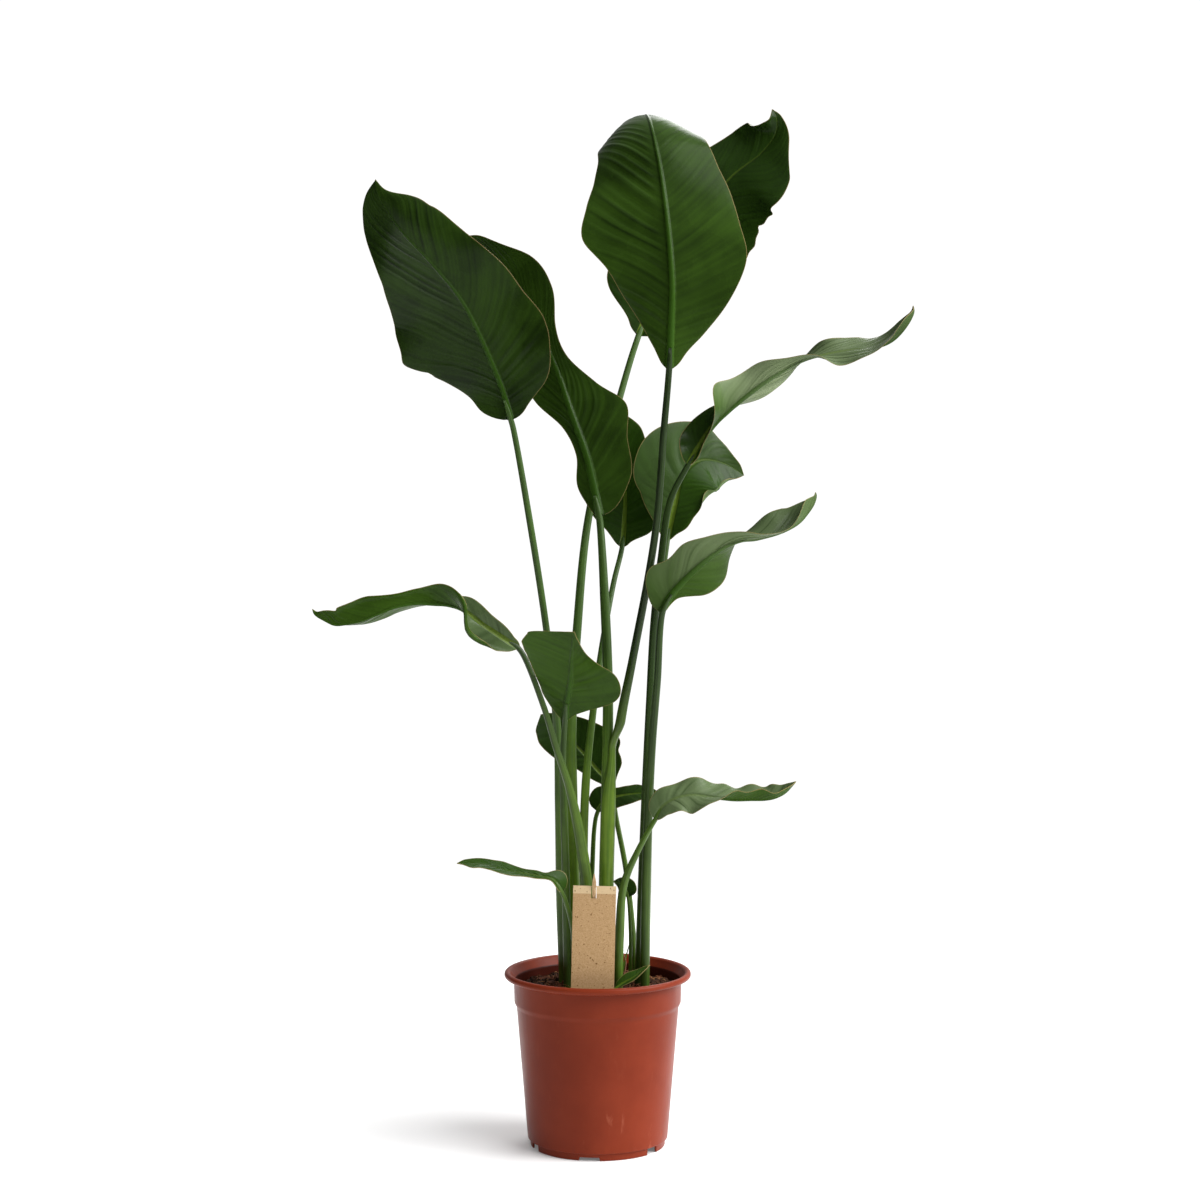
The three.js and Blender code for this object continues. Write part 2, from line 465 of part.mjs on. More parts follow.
// ---- pot ----
const SEGMENTS = 36;
const FLOOR_TOP = FLOOR_Z + FLOOR_THICK;
function potSolid() {
  const outer = revolve([
    [0, 0], [PAD_R, 0], [PAD_R + 0.5, FLOOR_Z], [POT_FOOT_R - 2.3, FLOOR_Z], [POT_FOOT_R - 2.5, 0],
    [POT_FOOT_R, 0], [POT_FOOT_R + 0.5, FLOOR_Z], [88.2, FLOOR_Z], [88.4, 9.5], [89.9, 9.5],
    [91, 22], [104, 179], [107, 185], [107.8, 215], [118, 216.6], [POT_RIM_R, 219.5], [119, 223],
    [116, POT_HEIGHT], [110.5, 220], [0, 220],
  ], SEGMENTS);
  const inner = revolve([
    [0, 2.5], [PAD_R - 2.5, 2.5], [PAD_R - 2, FLOOR_TOP], [88.2, FLOOR_TOP], [101.6, 180],
    [104.6, 186], [105.6, 213], [110.5, 220], [112, 230], [0, 230],
  ], SEGMENTS);
  let pot = outer.subtract(inner);
  for (let k = 0; k < 6; k++) {
    const turn = rad(-67 - 90 + 60 * k);
    const [w, h] = k % 2 ? [26, 4.5] : [19, 8.5];
    pot = pot.subtract(box(14, w, h + 1, POT_FOOT_R, 0, (h - 1) / 2, turn));
    const drain = new THREE.CylinderGeometry(7, 7, 12, 8);
    drain.rotateX(Math.PI / 2);
    drain.translate(66, 0, FLOOR_Z + 1);
    drain.rotateZ(turn);
    pot = pot.subtract(fromGeometry(drain));
  }
  return pot;
}

// ---- soil, cut to a loose fit round every stem ----
function soilSolid(cutters) {
  const g = SOIL_GAP;
  const body = revolve([
    [0, 2.5 + g], [PAD_R - 2.5 - g, 2.5 + g], [PAD_R - 2 - g, FLOOR_TOP + g], [87.9 - g, FLOOR_TOP + g],
    [101.2 - g, 180], [104.2 - g, 186.4], [104.5 - g, 201], [96, 204], [70, SOIL_TOP], [0, SOIL_TOP + 1.5],
  ], SEGMENTS);
  return cutters.reduce((soil, c) => soil.subtract(c), body);
}

// ---- card and stick ----
function cardSolid() {
  const { width, height, thick, lean, tilt, foot } = CARD;
  const g = new THREE.BoxGeometry(width, thick, height);
  g.translate(0, 0, height / 2);
  const slot = new THREE.BoxGeometry(STICK.width + 1.4, 6, 14);
  slot.translate(-0.9, 0, 125.5);
  const card = fromGeometry(g).subtract(fromGeometry(slot));
  return card.rotate([-lean, tilt, 0]).translate(foot);
}

function stickSolid(grow) {
  const a = V(...STICK.foot), b = V(...STICK.top);
  const T = b.clone().sub(a).normalize(), B = V(1, 0, 0), N = T.clone().cross(B).normalize();
  const ring = (p, w, t) => [[-1, -1], [1, -1], [1, 1], [-1, 1]].map(([u, v]) => p.clone()
    .addScaledVector(B, u * (w / 2 + grow)).addScaledVector(N, v * (t / 2 + grow)));
  const neck = b.clone().addScaledVector(T, -9), foot = a.clone().addScaledVector(T, -grow);
  return skin([ring(foot, STICK.width, STICK.thick), ring(neck, STICK.width, STICK.thick),
    ring(b, 1.6, 1.2)]);
}

function spikeSolid(grow) {
  const line = new Line(SPIKE.path, 1);
  return skin(spaced(0, line.end - 0.5, 8).map((l) => {
    const T = line.tangent(l), N = V(0, 1, 0).addScaledVector(T, -T.y).normalize();
    const r = SPIKE.radius * (1 - 0.85 * smoothstep(l, 30, line.end));
    return circle(line.at(l).addScaledVector(T, l === 0 ? -grow : 0), T.clone().cross(N), N, r + grow, 6);
  }));
}

// ---- assembly ----
const group = new THREE.Group();
function addPart(name, manifold, material) {
  const mesh = manifold.getMesh();
  const g = new THREE.BufferGeometry();
  g.setAttribute('position', new THREE.BufferAttribute(Float32Array.from(mesh.vertProperties), 3));
  g.setIndex(new THREE.BufferAttribute(Uint32Array.from(mesh.triVerts), 1));
  g.computeVertexNormals();
  const part = new THREE.Mesh(g, material);
  part.name = name;
  group.add(part);
}

const paint = (color, roughness) => new THREE.MeshStandardMaterial({ color, roughness });
const plastic = paint(0xa3482c, 0.55), peat = paint(0x2c1d15, 0.95), leafGreen = paint(0x2f5f26, 0.4);
const kraft = paint(0xc9ad82, 0.9), wood = paint(0xc9a577, 0.7);

const lines = Object.fromEntries(LEAVES.map((leaf) => [leaf.name, lineOf(leaf)]));
const byName = Object.fromEntries(LEAVES.map((leaf) => [leaf.name, leaf]));
const chains = Object.fromEntries(LEAVES.map((leaf) => [leaf.name, chainOf(leaf, lines[leaf.name])]));
const cutters = [stickSolid(STEM_GAP), spikeSolid(STEM_GAP)];
for (const leaf of LEAVES) {
  const line = lines[leaf.name], inner = byName[leaf.wraps];
  const rings = [...stemStations(line), ...neck(line)].map((l) => stemRing(leaf, line, l, STEM_GAP + 0.1, 6));
  const above = rings.findIndex((ring) => ring[0].z > SOIL_TOP + 8);
  const axis = inner && chains[inner.name][0];
  const well = inner ? [BURIED_Z, SOIL_TOP + 8].map((z) => circle(V(axis.x, axis.y, z), V(0, 1, 0), V(1, 0, 0),
    axis.r + 4.2, 16)) : rings.slice(0, above + 1);
  well[0].forEach((p) => { p.z -= STEM_GAP; });
  cutters.push(skin(well));

  const stem = inner ? sheathedStem(leaf, line, chains[inner.name]) : stemSolid(leaf, line);
  addPart(leaf.name, stem.add(bladeSolid(leaf, line)), leafGreen);
}
addPart('shoot_spike', spikeSolid(0), leafGreen);
addPart('pot', potSolid(), plastic);
addPart('soil', soilSolid(cutters), peat);
addPart('tag_card', cardSolid(), kraft);
addPart('tag_stick', stickSolid(0), wood);

export default group;
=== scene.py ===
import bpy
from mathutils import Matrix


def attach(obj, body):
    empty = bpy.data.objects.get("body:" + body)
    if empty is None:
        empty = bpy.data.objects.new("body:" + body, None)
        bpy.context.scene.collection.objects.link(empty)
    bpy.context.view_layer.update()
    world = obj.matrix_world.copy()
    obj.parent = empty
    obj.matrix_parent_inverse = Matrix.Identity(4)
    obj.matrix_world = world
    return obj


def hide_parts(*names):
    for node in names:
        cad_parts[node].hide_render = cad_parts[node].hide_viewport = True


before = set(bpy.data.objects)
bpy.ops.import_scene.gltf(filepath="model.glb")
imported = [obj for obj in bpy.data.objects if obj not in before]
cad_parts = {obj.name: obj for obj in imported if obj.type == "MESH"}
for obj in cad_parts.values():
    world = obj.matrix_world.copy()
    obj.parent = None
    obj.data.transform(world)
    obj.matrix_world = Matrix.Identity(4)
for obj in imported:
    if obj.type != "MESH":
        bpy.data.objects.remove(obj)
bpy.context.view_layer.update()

# Potted bird of paradise: a nursery pot, its soil, sixteen leaves that each rise from the soil on
# their own stem, a young shoot and a bare card tag on a stick. Metres, +Z up, origin under the pot.
import bpy
import numpy as np
from mathutils import Vector

MM = 0.001


# ---- Pot. One thin-walled injection moulding of terracotta-red polypropylene: a tapered body, a
# stepped collar, a rolled lip, and a foot ring with water notches under a floor with drain holes.
POT_LIP_R = 120
POT_HEIGHT = 225
POT_FOOT_R = 86.5
POT_PAD_R, POT_FLOOR_R = 30.5, 84.2
POT_FLOOR_Z, POT_FLOOR_TOP = 12, 14.5
POT_DRAIN_R, POT_DRAIN_AT = 7, 66
POT_NOTCH_TURN = -157                  # degrees; the six notches then follow every 60
POT_NOTCHES = [(19, 8.5), (26, 4.5)]   # width, height of every other one
POT_RIB_TURNS = (-107.5, -84.5, -60.5, 12, 95, 170)
POT_RIB_RISE, POT_RIB_SPREAD = 0.8, 0.9   # millimetres out; degrees round the pot


def srgb(red, green, blue):
    """A screen colour of 0 to 255 a channel as the linear colour that a shader reads."""
    c = np.array([red, green, blue]) / 255
    return (*np.where(c <= 0.04045, c / 12.92, ((c + 0.055) / 1.055) ** 2.4), 1.0)


def step(x, low, high):
    """0 below low, 1 above high, and 3s^2 - 2s^3 between them."""
    s = np.clip((x - low) / (high - low), 0, 1)
    return s * s * (3 - 2 * s)


def rounded(corners, radius, arc=4):
    """A polyline whose corners are cut off with quadratic arcs that start radius before each one."""
    p = np.array(corners, float)
    out = [p[:1]]
    for before, corner, after in zip(p[:-2], p[1:-1], p[2:]):
        a, b = before - corner, after - corner
        la, lb = np.linalg.norm(a), np.linalg.norm(b)
        a, b = corner + a * min(radius / la, 0.45), corner + b * min(radius / lb, 0.45)
        s = np.linspace(0, 1, arc)[:, None]
        out.append((1 - s) ** 2 * a + 2 * s * (1 - s) * corner + s * s * b)
    return np.vstack(out + [p[-1:]])


def grid_faces(rows, columns, closed=False, start=0):
    """Quads of a grid of points numbered row by row; the last column joins the first if closed."""
    i, j = np.meshgrid(np.arange(rows - 1), np.arange(columns - (not closed)), indexing="ij")
    a, b = i * columns + j, i * columns + (j + 1) % columns
    return start + np.stack([a, b, b + columns, a + columns], -1).reshape(-1, 4)


def round_z(r, turn, z):
    """Points at radius r and height z, turned round the Z axis."""
    return np.stack([r * np.cos(turn), r * np.sin(turn), z + 0 * turn], -1)


def add_object(name, data):
    """A new object in the scene, unturned at the origin."""
    made = bpy.data.objects.new(name, data)
    bpy.context.scene.collection.objects.link(made)
    return made


def new_piece(name, points, faces, nodes=()):
    """A smooth mesh from points in millimetres and quads. It rides on the root body and stands
    for the CAD nodes named."""
    mesh = bpy.data.meshes.new(name)
    points, faces = np.asarray(points, float).reshape(-1, 3), np.asarray(faces)
    mesh.from_pydata((points * MM).tolist(), [], faces.tolist())
    mesh.polygons.foreach_set("use_smooth", np.ones(len(mesh.polygons), bool))
    piece = add_object(name, mesh)
    mesh.validate()
    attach(piece, "root")
    if nodes:
        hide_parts(*nodes)
    return piece


def finish(name, gloss=0.5, roughness=0.5):
    """A new material: returns it with its node tree and its main shader."""
    material = bpy.data.materials.new(name)
    material.use_nodes = True
    shader = material.node_tree.nodes["Principled BSDF"]
    shader.inputs["Specular IOR Level"].default_value = gloss
    shader.inputs["Roughness"].default_value = roughness
    return material, material.node_tree, shader


def put(socket, value):
    """Links a socket to another node's output, or gives it a value: three numbers are a screen
    colour, anything else is taken as it is."""
    if isinstance(value, bpy.types.NodeSocket):
        socket.id_data.links.new(value, socket)
    else:
        socket.default_value = srgb(*value) if isinstance(value, tuple) and len(value) == 3 else value


def add_node(kind, *values):
    """A new node in the node tree that the first linked value comes from."""
    tree = next(v.id_data for v in values if isinstance(v, bpy.types.NodeSocket))
    return tree.nodes.new("ShaderNode" + kind)


def reckon(kind, a, b, clamp=False):
    """A Math node's result."""
    n = add_node("Math", a, b)
    n.operation, n.use_clamp = kind, clamp
    put(n.inputs[0], a)
    put(n.inputs[1], b)
    return n.outputs[0]


def mix(share, a, b):
    """Colour a with its share of colour b."""
    n = add_node("Mix", share, a, b)
    n.data_type = "RGBA"
    for socket, value in ((0, share), (6, a), (7, b)):
        put(n.inputs[socket], value)
    return n.outputs[2]


def between(value, low, high, to_low=0.0, to_high=1.0):
    """value carried from the range low..high to the range to_low..to_high, and held there."""
    n = add_node("MapRange", value)
    n.interpolation_type = "SMOOTHSTEP"
    for socket, v in zip(list(n.inputs)[:5], (value, low, high, to_low, to_high)):
        put(socket, v)
    return n.outputs[0]


def place(tree, scale=(1, 1, 1), uv=None):
    """Object coordinates, or a UV map's, stretched by scale."""
    if uv:
        n = tree.nodes.new("ShaderNodeUVMap")
        n.uv_map = uv
        source = n.outputs[0]
    else:
        source = tree.nodes.new("ShaderNodeTexCoord").outputs["Object"]
    m = tree.nodes.new("ShaderNodeMapping")
    m.inputs["Scale"].default_value = scale
    put(m.inputs["Vector"], source)
    return m.outputs[0]


def noise(where, scale, detail=3.0, roughness=0.5, distortion=0.0):
    """A Noise texture's value, 0 to 1 about 0.5."""
    n = add_node("TexNoise", where)
    put(n.inputs["Vector"], where)
    for socket, v in zip(("Scale", "Detail", "Roughness", "Distortion"),
                         (scale, detail, roughness, distortion)):
        n.inputs[socket].default_value = v
    return n.outputs[0]


def bump(shader, height, distance, strength=1.0):
    """Raises the shader's surface by height times distance in metres."""
    n = add_node("Bump", height)
    n.inputs["Strength"].default_value = strength
    n.inputs["Distance"].default_value = distance
    put(n.inputs["Height"], height)
    put(shader.inputs["Normal"], n.outputs[0])


def notch_height(turn):
    """How far the foot ring's lower edge is lifted at each turn round the pot, in degrees."""
    lift = np.zeros_like(turn)
    for k in range(6):
        width, height = POT_NOTCHES[k % 2]
        half = np.degrees(np.arcsin(width / 2 / POT_FOOT_R))
        off = np.abs((turn - POT_NOTCH_TURN - 60 * k + 180) % 360 - 180)
        lift = np.maximum(lift, height * (1 - step(off, half - 0.25, half + 0.25)))
    return lift


def pot_wall():
    """Profile of radius and height carried round the axis. Foot ring points are held above the
    notches, and six short upright ribs swell the edge that overhangs the foot."""
    outer = rounded([(POT_PAD_R, POT_FLOOR_Z), (POT_FLOOR_R, POT_FLOOR_Z), (84.0, 0), (POT_FOOT_R, 0),
                     (87.0, POT_FLOOR_Z), (88.2, POT_FLOOR_Z), (88.4, 9.5), (89.9, 9.5), (91, 22),
                     (104, 179), (107, 185), (107.8, 215), (118, 216.6), (POT_LIP_R, 219.3),
                     (119.2, 223.2), (116, POT_HEIGHT), (112.5, 223.4), (110.5, 220), (105.6, 213),
                     (104.6, 186), (101.6, 180), (88.2, POT_FLOOR_TOP), (76, POT_FLOOR_TOP),
                     (30, POT_FLOOR_TOP)], 1.6)
    edges = []
    for k in range(6):
        half = np.degrees(np.arcsin(POT_NOTCHES[k % 2][0] / 2 / POT_FOOT_R))
        edges += [POT_NOTCH_TURN + 60 * k + s * (half + o) for s in (-1, 1) for o in (-0.3, 0, 0.3)]
    turn = np.unique(np.round(np.concatenate([np.arange(0, 360, 1.5), np.array(edges) % 360]), 3))
    r, z = outer[:, :1] + 0 * turn, outer[:, 1:] + 0 * turn
    foot = (outer[:, 0] > 83.5) & (outer[:, 0] < 87.6) & (outer[:, 1] < 11.9)
    z = np.where(foot[:, None], np.maximum(z, notch_height(turn)), z)
    edge = np.where((outer[:, 0] > 88) & (outer[:, 1] < 16), POT_RIB_RISE, 0)[:, None]
    for rib_turn in POT_RIB_TURNS:
        r = r + np.exp(-(((turn - rib_turn + 180) % 360 - 180) / POT_RIB_SPREAD) ** 2) * edge
    points = round_z(r, np.radians(turn), z)
    return points, grid_faces(*points.shape[:2], closed=True)[:, ::-1]


def pot_floor(start):
    """Floor of six sectors, each a grid from its drain hole (s = 0) out to the sector's edge
    (s = 1), with the pad in the middle standing on the ground."""
    around = np.arange(72) * 5.0
    hole = np.stack([POT_DRAIN_AT + POT_DRAIN_R * np.cos(np.radians(around)),
                     POT_DRAIN_R * np.sin(np.radians(around))], -1)
    corners = [(POT_PAD_R, -30), (POT_FLOOR_R, -30), (POT_FLOOR_R, 0), (POT_FLOOR_R, 30),
               (POT_PAD_R, 30), (POT_PAD_R, 0)]
    lengths = [16, 15, 15, 16, 5, 5]
    side = []
    for (r0, t0), (r1, t1), n in zip(corners, corners[1:] + corners[:1], lengths):
        s = np.arange(n) / n
        r, t = r0 + (r1 - r0) * s, np.radians(t0 + (t1 - t0) * s)
        side.append(np.stack([r * np.cos(t), r * np.sin(t)], -1))
    side = np.roll(np.vstack(side), -24, axis=0)
    levels = [(1.0, POT_FLOOR_Z), (0.5, POT_FLOOR_Z), (0.0, POT_FLOOR_Z),
              (0.0, POT_FLOOR_TOP), (0.5, POT_FLOOR_TOP), (1.0, POT_FLOOR_TOP)]
    points, faces = [], []
    for k in range(6):
        turn = np.radians(POT_NOTCH_TURN + 60 * k)
        spin = np.array([[np.cos(turn), np.sin(turn)], [-np.sin(turn), np.cos(turn)]])
        rings = [np.column_stack([(hole * (1 - s) + side * s) @ spin, np.full(72, z)]) for s, z in levels]
        faces.append(grid_faces(6, 72, closed=True, start=start + k * 6 * 72))
        points.append(np.vstack(rings))
    return np.vstack(points), np.vstack(faces)


def pot_pad():
    """The round foot under the middle of the floor: a shallow cup, its own small profile."""
    outline = rounded([(0, 0), (30, 0), (POT_PAD_R, POT_FLOOR_Z), (POT_PAD_R, POT_FLOOR_TOP),
                       (28, POT_FLOOR_TOP), (27.5, 2.5), (0, 2.5)], 1.2)
    points = round_z(outline[:, :1], np.radians(np.arange(0, 360, 6)), outline[:, 1:])
    return points, grid_faces(*points.shape[:2], closed=True)[:, ::-1]


wall_points, wall_faces = pot_wall()
pad_points, pad_faces = pot_pad()
wall_count, pad_count = wall_points[..., 0].size, pad_points[..., 0].size
floor_points, floor_faces = pot_floor(wall_count + pad_count)
pot = new_piece("pot_moulding",
                np.vstack([wall_points.reshape(-1, 3), pad_points.reshape(-1, 3), floor_points]),
                np.vstack([wall_faces, pad_faces + wall_count, floor_faces]), ["pot"])

plastic, tree, shader = finish("terracotta plastic", gloss=0.1)
cloud = noise(place(tree), 9, 4, 0.6)
rub = noise(place(tree, (1, 1, 0.22)), 60, 5, 0.7, 0.4)
height = tree.nodes.new("ShaderNodeSeparateXYZ")
put(height.inputs[0], tree.nodes.new("ShaderNodeTexCoord").outputs["Object"])
low = between(height.outputs[2], 0.10, 0.015)
scuff = reckon("MULTIPLY", between(rub, 0.60, 0.72), reckon("ADD", low, 0.12))
red = mix(between(cloud, 0.3, 0.7), (112, 40, 20), (125, 48, 26))
red = mix(reckon("MULTIPLY", scuff, 0.35), red, (186, 112, 88))
flat = tree.nodes.new("ShaderNodeVectorMath")
flat.operation = "LENGTH"
put(flat.inputs[0], place(tree, (1, 1, 0)))
# Painted shade: the inner wall just above the soil is darkened to a deep brown.
inside = reckon("MULTIPLY", between(flat.outputs["Value"], 0.1066, 0.1060),
                between(height.outputs[2], 0.186, 0.192))    # within the wall, over the soil
red = mix(reckon("MULTIPLY", inside, 0.8), red, (44, 16, 12))
put(shader.inputs["Base Color"], red)
put(shader.inputs["Roughness"], between(reckon("ADD", rub, scuff), 0.3, 1.1, 0.3, 0.55))
bump(shader, noise(place(tree, (1, 1, 0.5)), 420, 3, 0.6), 0.00025, 0.35)
pot.data.materials.append(plastic)


# ---- Soil. Peat and coir potting mix: a bumpy dark fill under the lip, with loose crumbs and pale
# coir fibres lying on it. It fills the pot down to its floor.
SOIL_R = 104
SOIL_TOP = 207
CRUMBS, CRUMB_SIZES = 900, (0.8, 2.8)
FIBRES, FIBRE_LENGTHS, FIBRE_RADII = 260, (9, 30), (0.18, 0.42)


def waves(x, y, size, count, seed):
    """Sum of count sine waves of about the given wavelength in random directions, about -1 to 1."""
    pick = np.random.default_rng(seed)
    turn, phase = pick.uniform(0, 2 * np.pi, (2, count))
    k = 2 * np.pi / (size * pick.uniform(0.7, 1.5, count))
    total = sum(np.sin(k[i] * (x * np.cos(turn[i]) + y * np.sin(turn[i])) + phase[i])
                for i in range(count))
    return total / np.sqrt(count)


def soil_height(x, y):
    """Height of the soil: a low mound that falls towards the wall, with lumps of three sizes."""
    r = np.hypot(x, y)
    mound = SOIL_TOP + 1.0 - 6.5 * (r / SOIL_R) ** 3
    lumps = 1.6 * waves(x, y, 42, 9, 11) + 1.3 * np.maximum(waves(x, y, 14, 14, 12), -0.4)
    return mound + (lumps + 0.7 * waves(x, y, 6, 16, 13)) * step(SOIL_R - r, -1, 8)


rings = np.concatenate([[0.4], np.linspace(3, SOIL_R, 74)])
turns = np.radians(np.arange(0, 360, 2))
soil_x, soil_y = rings[:, None] * np.cos(turns), rings[:, None] * np.sin(turns)
top = np.stack([soil_x, soil_y, soil_height(soil_x, soil_y)], -1)
side = [round_z(r, turns, z)
        for r, z in ((103.6, 190), (100.5, 176), (87.4, 15.2), (40, 15.0), (0.4, 15.0))]
soil_points = np.concatenate([top, np.array(side)])
soil_faces = grid_faces(*soil_points.shape[:2], closed=True)
soil = new_piece("soil_fill", soil_points, soil_faces, ["soil"])

earth, tree, shader = finish("peat and coir", gloss=0.2, roughness=0.95)
here = place(tree)
lump = noise(here, 210, 6, 0.65)
brown = mix(between(lump, 0.35, 0.7), (18, 11, 7), (74, 44, 28))
brown = mix(between(noise(here, 30, 3), 0.45, 0.7), brown, (98, 54, 32))
put(shader.inputs["Base Color"], brown)
bump(shader, lump, 0.003, 0.9)
soil.data.materials.append(earth)


def crumbs(count, sizes, seed):
    """Rough lumps on the soil: a ball of 6 x 8 points, each pushed in or out at random, squashed,
    and set on the ground between the stems and the wall."""
    pick = np.random.default_rng(seed)
    rows, columns = 6, 8
    r, turn = SOIL_R * np.sqrt(pick.uniform(0.02, 0.93, count)), pick.uniform(0, 2 * np.pi, count)
    x, y = r * np.cos(turn), r * np.sin(turn)
    up = np.radians([4, 40, 75, 105, 140, 176])[:, None]
    ball = round_z(np.sin(up), np.radians(np.arange(0, 360, 360 / columns)), np.cos(up))
    size = pick.uniform(*sizes, count)[:, None, None, None]
    size = size * pick.uniform(0.75, 1.25, (count, rows, columns, 1))
    lump = ball[None] * size * pick.uniform(0.6, 1.3, (count, 1, 1, 3))
    lump = lump + np.stack([x, y, soil_height(x, y) + 0.3], -1)[:, None, None, :]
    cap = np.array([[0, 1, 2, 3], [0, 3, 4, 7], [4, 5, 6, 7],
                    [43, 42, 41, 40], [47, 44, 43, 40], [47, 46, 45, 44]])
    faces = np.vstack([grid_faces(rows, columns, closed=True)[:, ::-1], cap])
    return lump, (faces[None] + rows * columns * np.arange(count)[:, None, None]).reshape(-1, 4)


def fibres(count, long, thick, seed):
    """Coir hairs: tubes of five sides along a line that wanders a little and lies just above the
    ground. Returns points and faces."""
    pick = np.random.default_rng(seed)
    n, sides = 9, 5
    r, turn = SOIL_R * np.sqrt(pick.uniform(0.05, 0.9, count)), pick.uniform(0, 2 * np.pi, count)
    heading = pick.uniform(0, 2 * np.pi, count)[:, None] + np.cumsum(pick.normal(0, 0.28, (count, n)), 1)
    pace = (pick.uniform(*long, count) / n)[:, None]
    x = (r * np.cos(turn))[:, None] + np.cumsum(pace * np.cos(heading), 1)
    y = (r * np.sin(turn))[:, None] + np.cumsum(pace * np.sin(heading), 1)
    keep = np.minimum(1, (SOIL_R - 2) / np.maximum(np.hypot(x, y), 1))
    x, y = x * keep, y * keep
    lift = 0.7 + pick.uniform(0, 3.5, count)[:, None] * np.sin(np.linspace(0, np.pi, n)) ** 2
    line = np.stack([x, y, soil_height(x, y) + lift], -1)
    ahead = np.gradient(line, axis=1)
    ahead /= np.linalg.norm(ahead, axis=-1, keepdims=True) + 1e-9
    across = np.cross(ahead, [0, 0, 1.0])
    across /= np.linalg.norm(across, axis=-1, keepdims=True) + 1e-9
    a = 2 * np.pi * np.arange(sides) / sides
    width = pick.uniform(*thick, count)[:, None] * np.sin(np.linspace(0.25, np.pi - 0.25, n))
    up = np.cross(across, ahead)
    ring = across[:, :, None] * np.cos(a)[:, None] + up[:, :, None] * np.sin(a)[:, None]
    tube = line[:, :, None] + width[..., None, None] * ring
    faces = grid_faces(n, sides, closed=True)
    return tube, (faces[None] + n * sides * np.arange(count)[:, None, None]).reshape(-1, 4)


crumb_points, crumb_faces = crumbs(CRUMBS, CRUMB_SIZES, 21)
crumb_piece = new_piece("soil_crumbs", crumb_points, crumb_faces)
crumb_piece.data.materials.append(earth)

fibre_points, fibre_faces = fibres(FIBRES, FIBRE_LENGTHS, FIBRE_RADII, 22)
fibre_piece = new_piece("soil_fibres", fibre_points, fibre_faces)
coir, tree, shader = finish("coir fibre", gloss=0.3, roughness=0.8)
tint = noise(place(tree), 90, 2)
put(shader.inputs["Base Color"],
    mix(between(tint, 0.4, 0.6), (96, 58, 34), (168, 118, 74)))
fibre_piece.data.materials.append(coir)


# ---- Tall leaves. Each leaf is one growth: a firm round stem that turns into the raised rib under a
# leathery blade with a thin pale margin, whose side veins leave the rib and bend to the tip.
# Every leaf below is told in millimetres and degrees. A table's rows are [station, right, left]: the
# station runs from 0 at the blade's base to 1 at its tip, and the right half is the one to the right
# of somebody who looks along the rib towards the tip with the upper side up.
# Form. stem: x, y, z, radius from the soil up. rib: x, y, z to the tip, and rib_radius at its base.
#   face: [station, x, y, z], where the upper side looks. right, left: half widths at WIDTH_AT of the
#   length. lobes: (1 right or -1 left, station, width, reach) of small lobes and nicks. fold: how far
#   each half rises. cup: how much more by its margin. roll: how much more past roll_from of the half,
#   all of it by roll_to. wave: height, number and phase of the margin's waves.
# Veins. veins: their number. sweep: how far they run on to the tip. relief: how far they stand out.
#   sweep and relief are (right, left).
# Colour. tone, stem_tone: 0 dark to 1 light. fresh: how yellow the stem's foot is.
#   bloom, under_bloom: how silvery the upper side and the underside are,
#   partly a waxy bloom, partly painted sheen. rib_shows: how much of the rib's paler colour shows.
#   brown: x, y, z, reach of dry spots.
WIDTH_AT = [0.03, 0.1, 0.2, 0.3, 0.4, 0.5, 0.6, 0.7, 0.8, 0.9, 0.96]
BURIED_Z, STEM_FROM = 168, 12         # where the centre line starts; how far along it the stem does
BLADE_THICK = 0.9
RIB_TIP_R = 0.6
RIB_RUN = 26                          # how far the stem runs on inside the rib
ROW_EVERY, COLUMN_EVERY = 1.9, 3.2    # the blade's mesh


def eased(x, xs, ys):
    """Cubic Hermite curve through ys at xs, its slopes taken from the neighbours and 0 at the ends."""
    xs, ys = np.asarray(xs, float), np.asarray(ys, float)
    if len(xs) == 1:
        return np.full(np.shape(x), ys[0])
    slope = np.gradient(ys, xs)
    slope[[0, -1]] = 0
    x = np.clip(x, xs[0], xs[-1])
    i = np.clip(np.searchsorted(xs, x, side="right") - 1, 0, len(xs) - 2)
    h = xs[i + 1] - xs[i]
    s = (x - xs[i]) / h
    return ((2 * s ** 3 - 3 * s ** 2 + 1) * ys[i] + (s ** 3 - 2 * s ** 2 + s) * h * slope[i]
            + (3 * s ** 2 - 2 * s ** 3) * ys[i + 1] + (s ** 3 - s ** 2) * h * slope[i + 1])


def unit(v):
    """Vectors divided by their lengths."""
    return v / np.linalg.norm(v, axis=-1, keepdims=True)


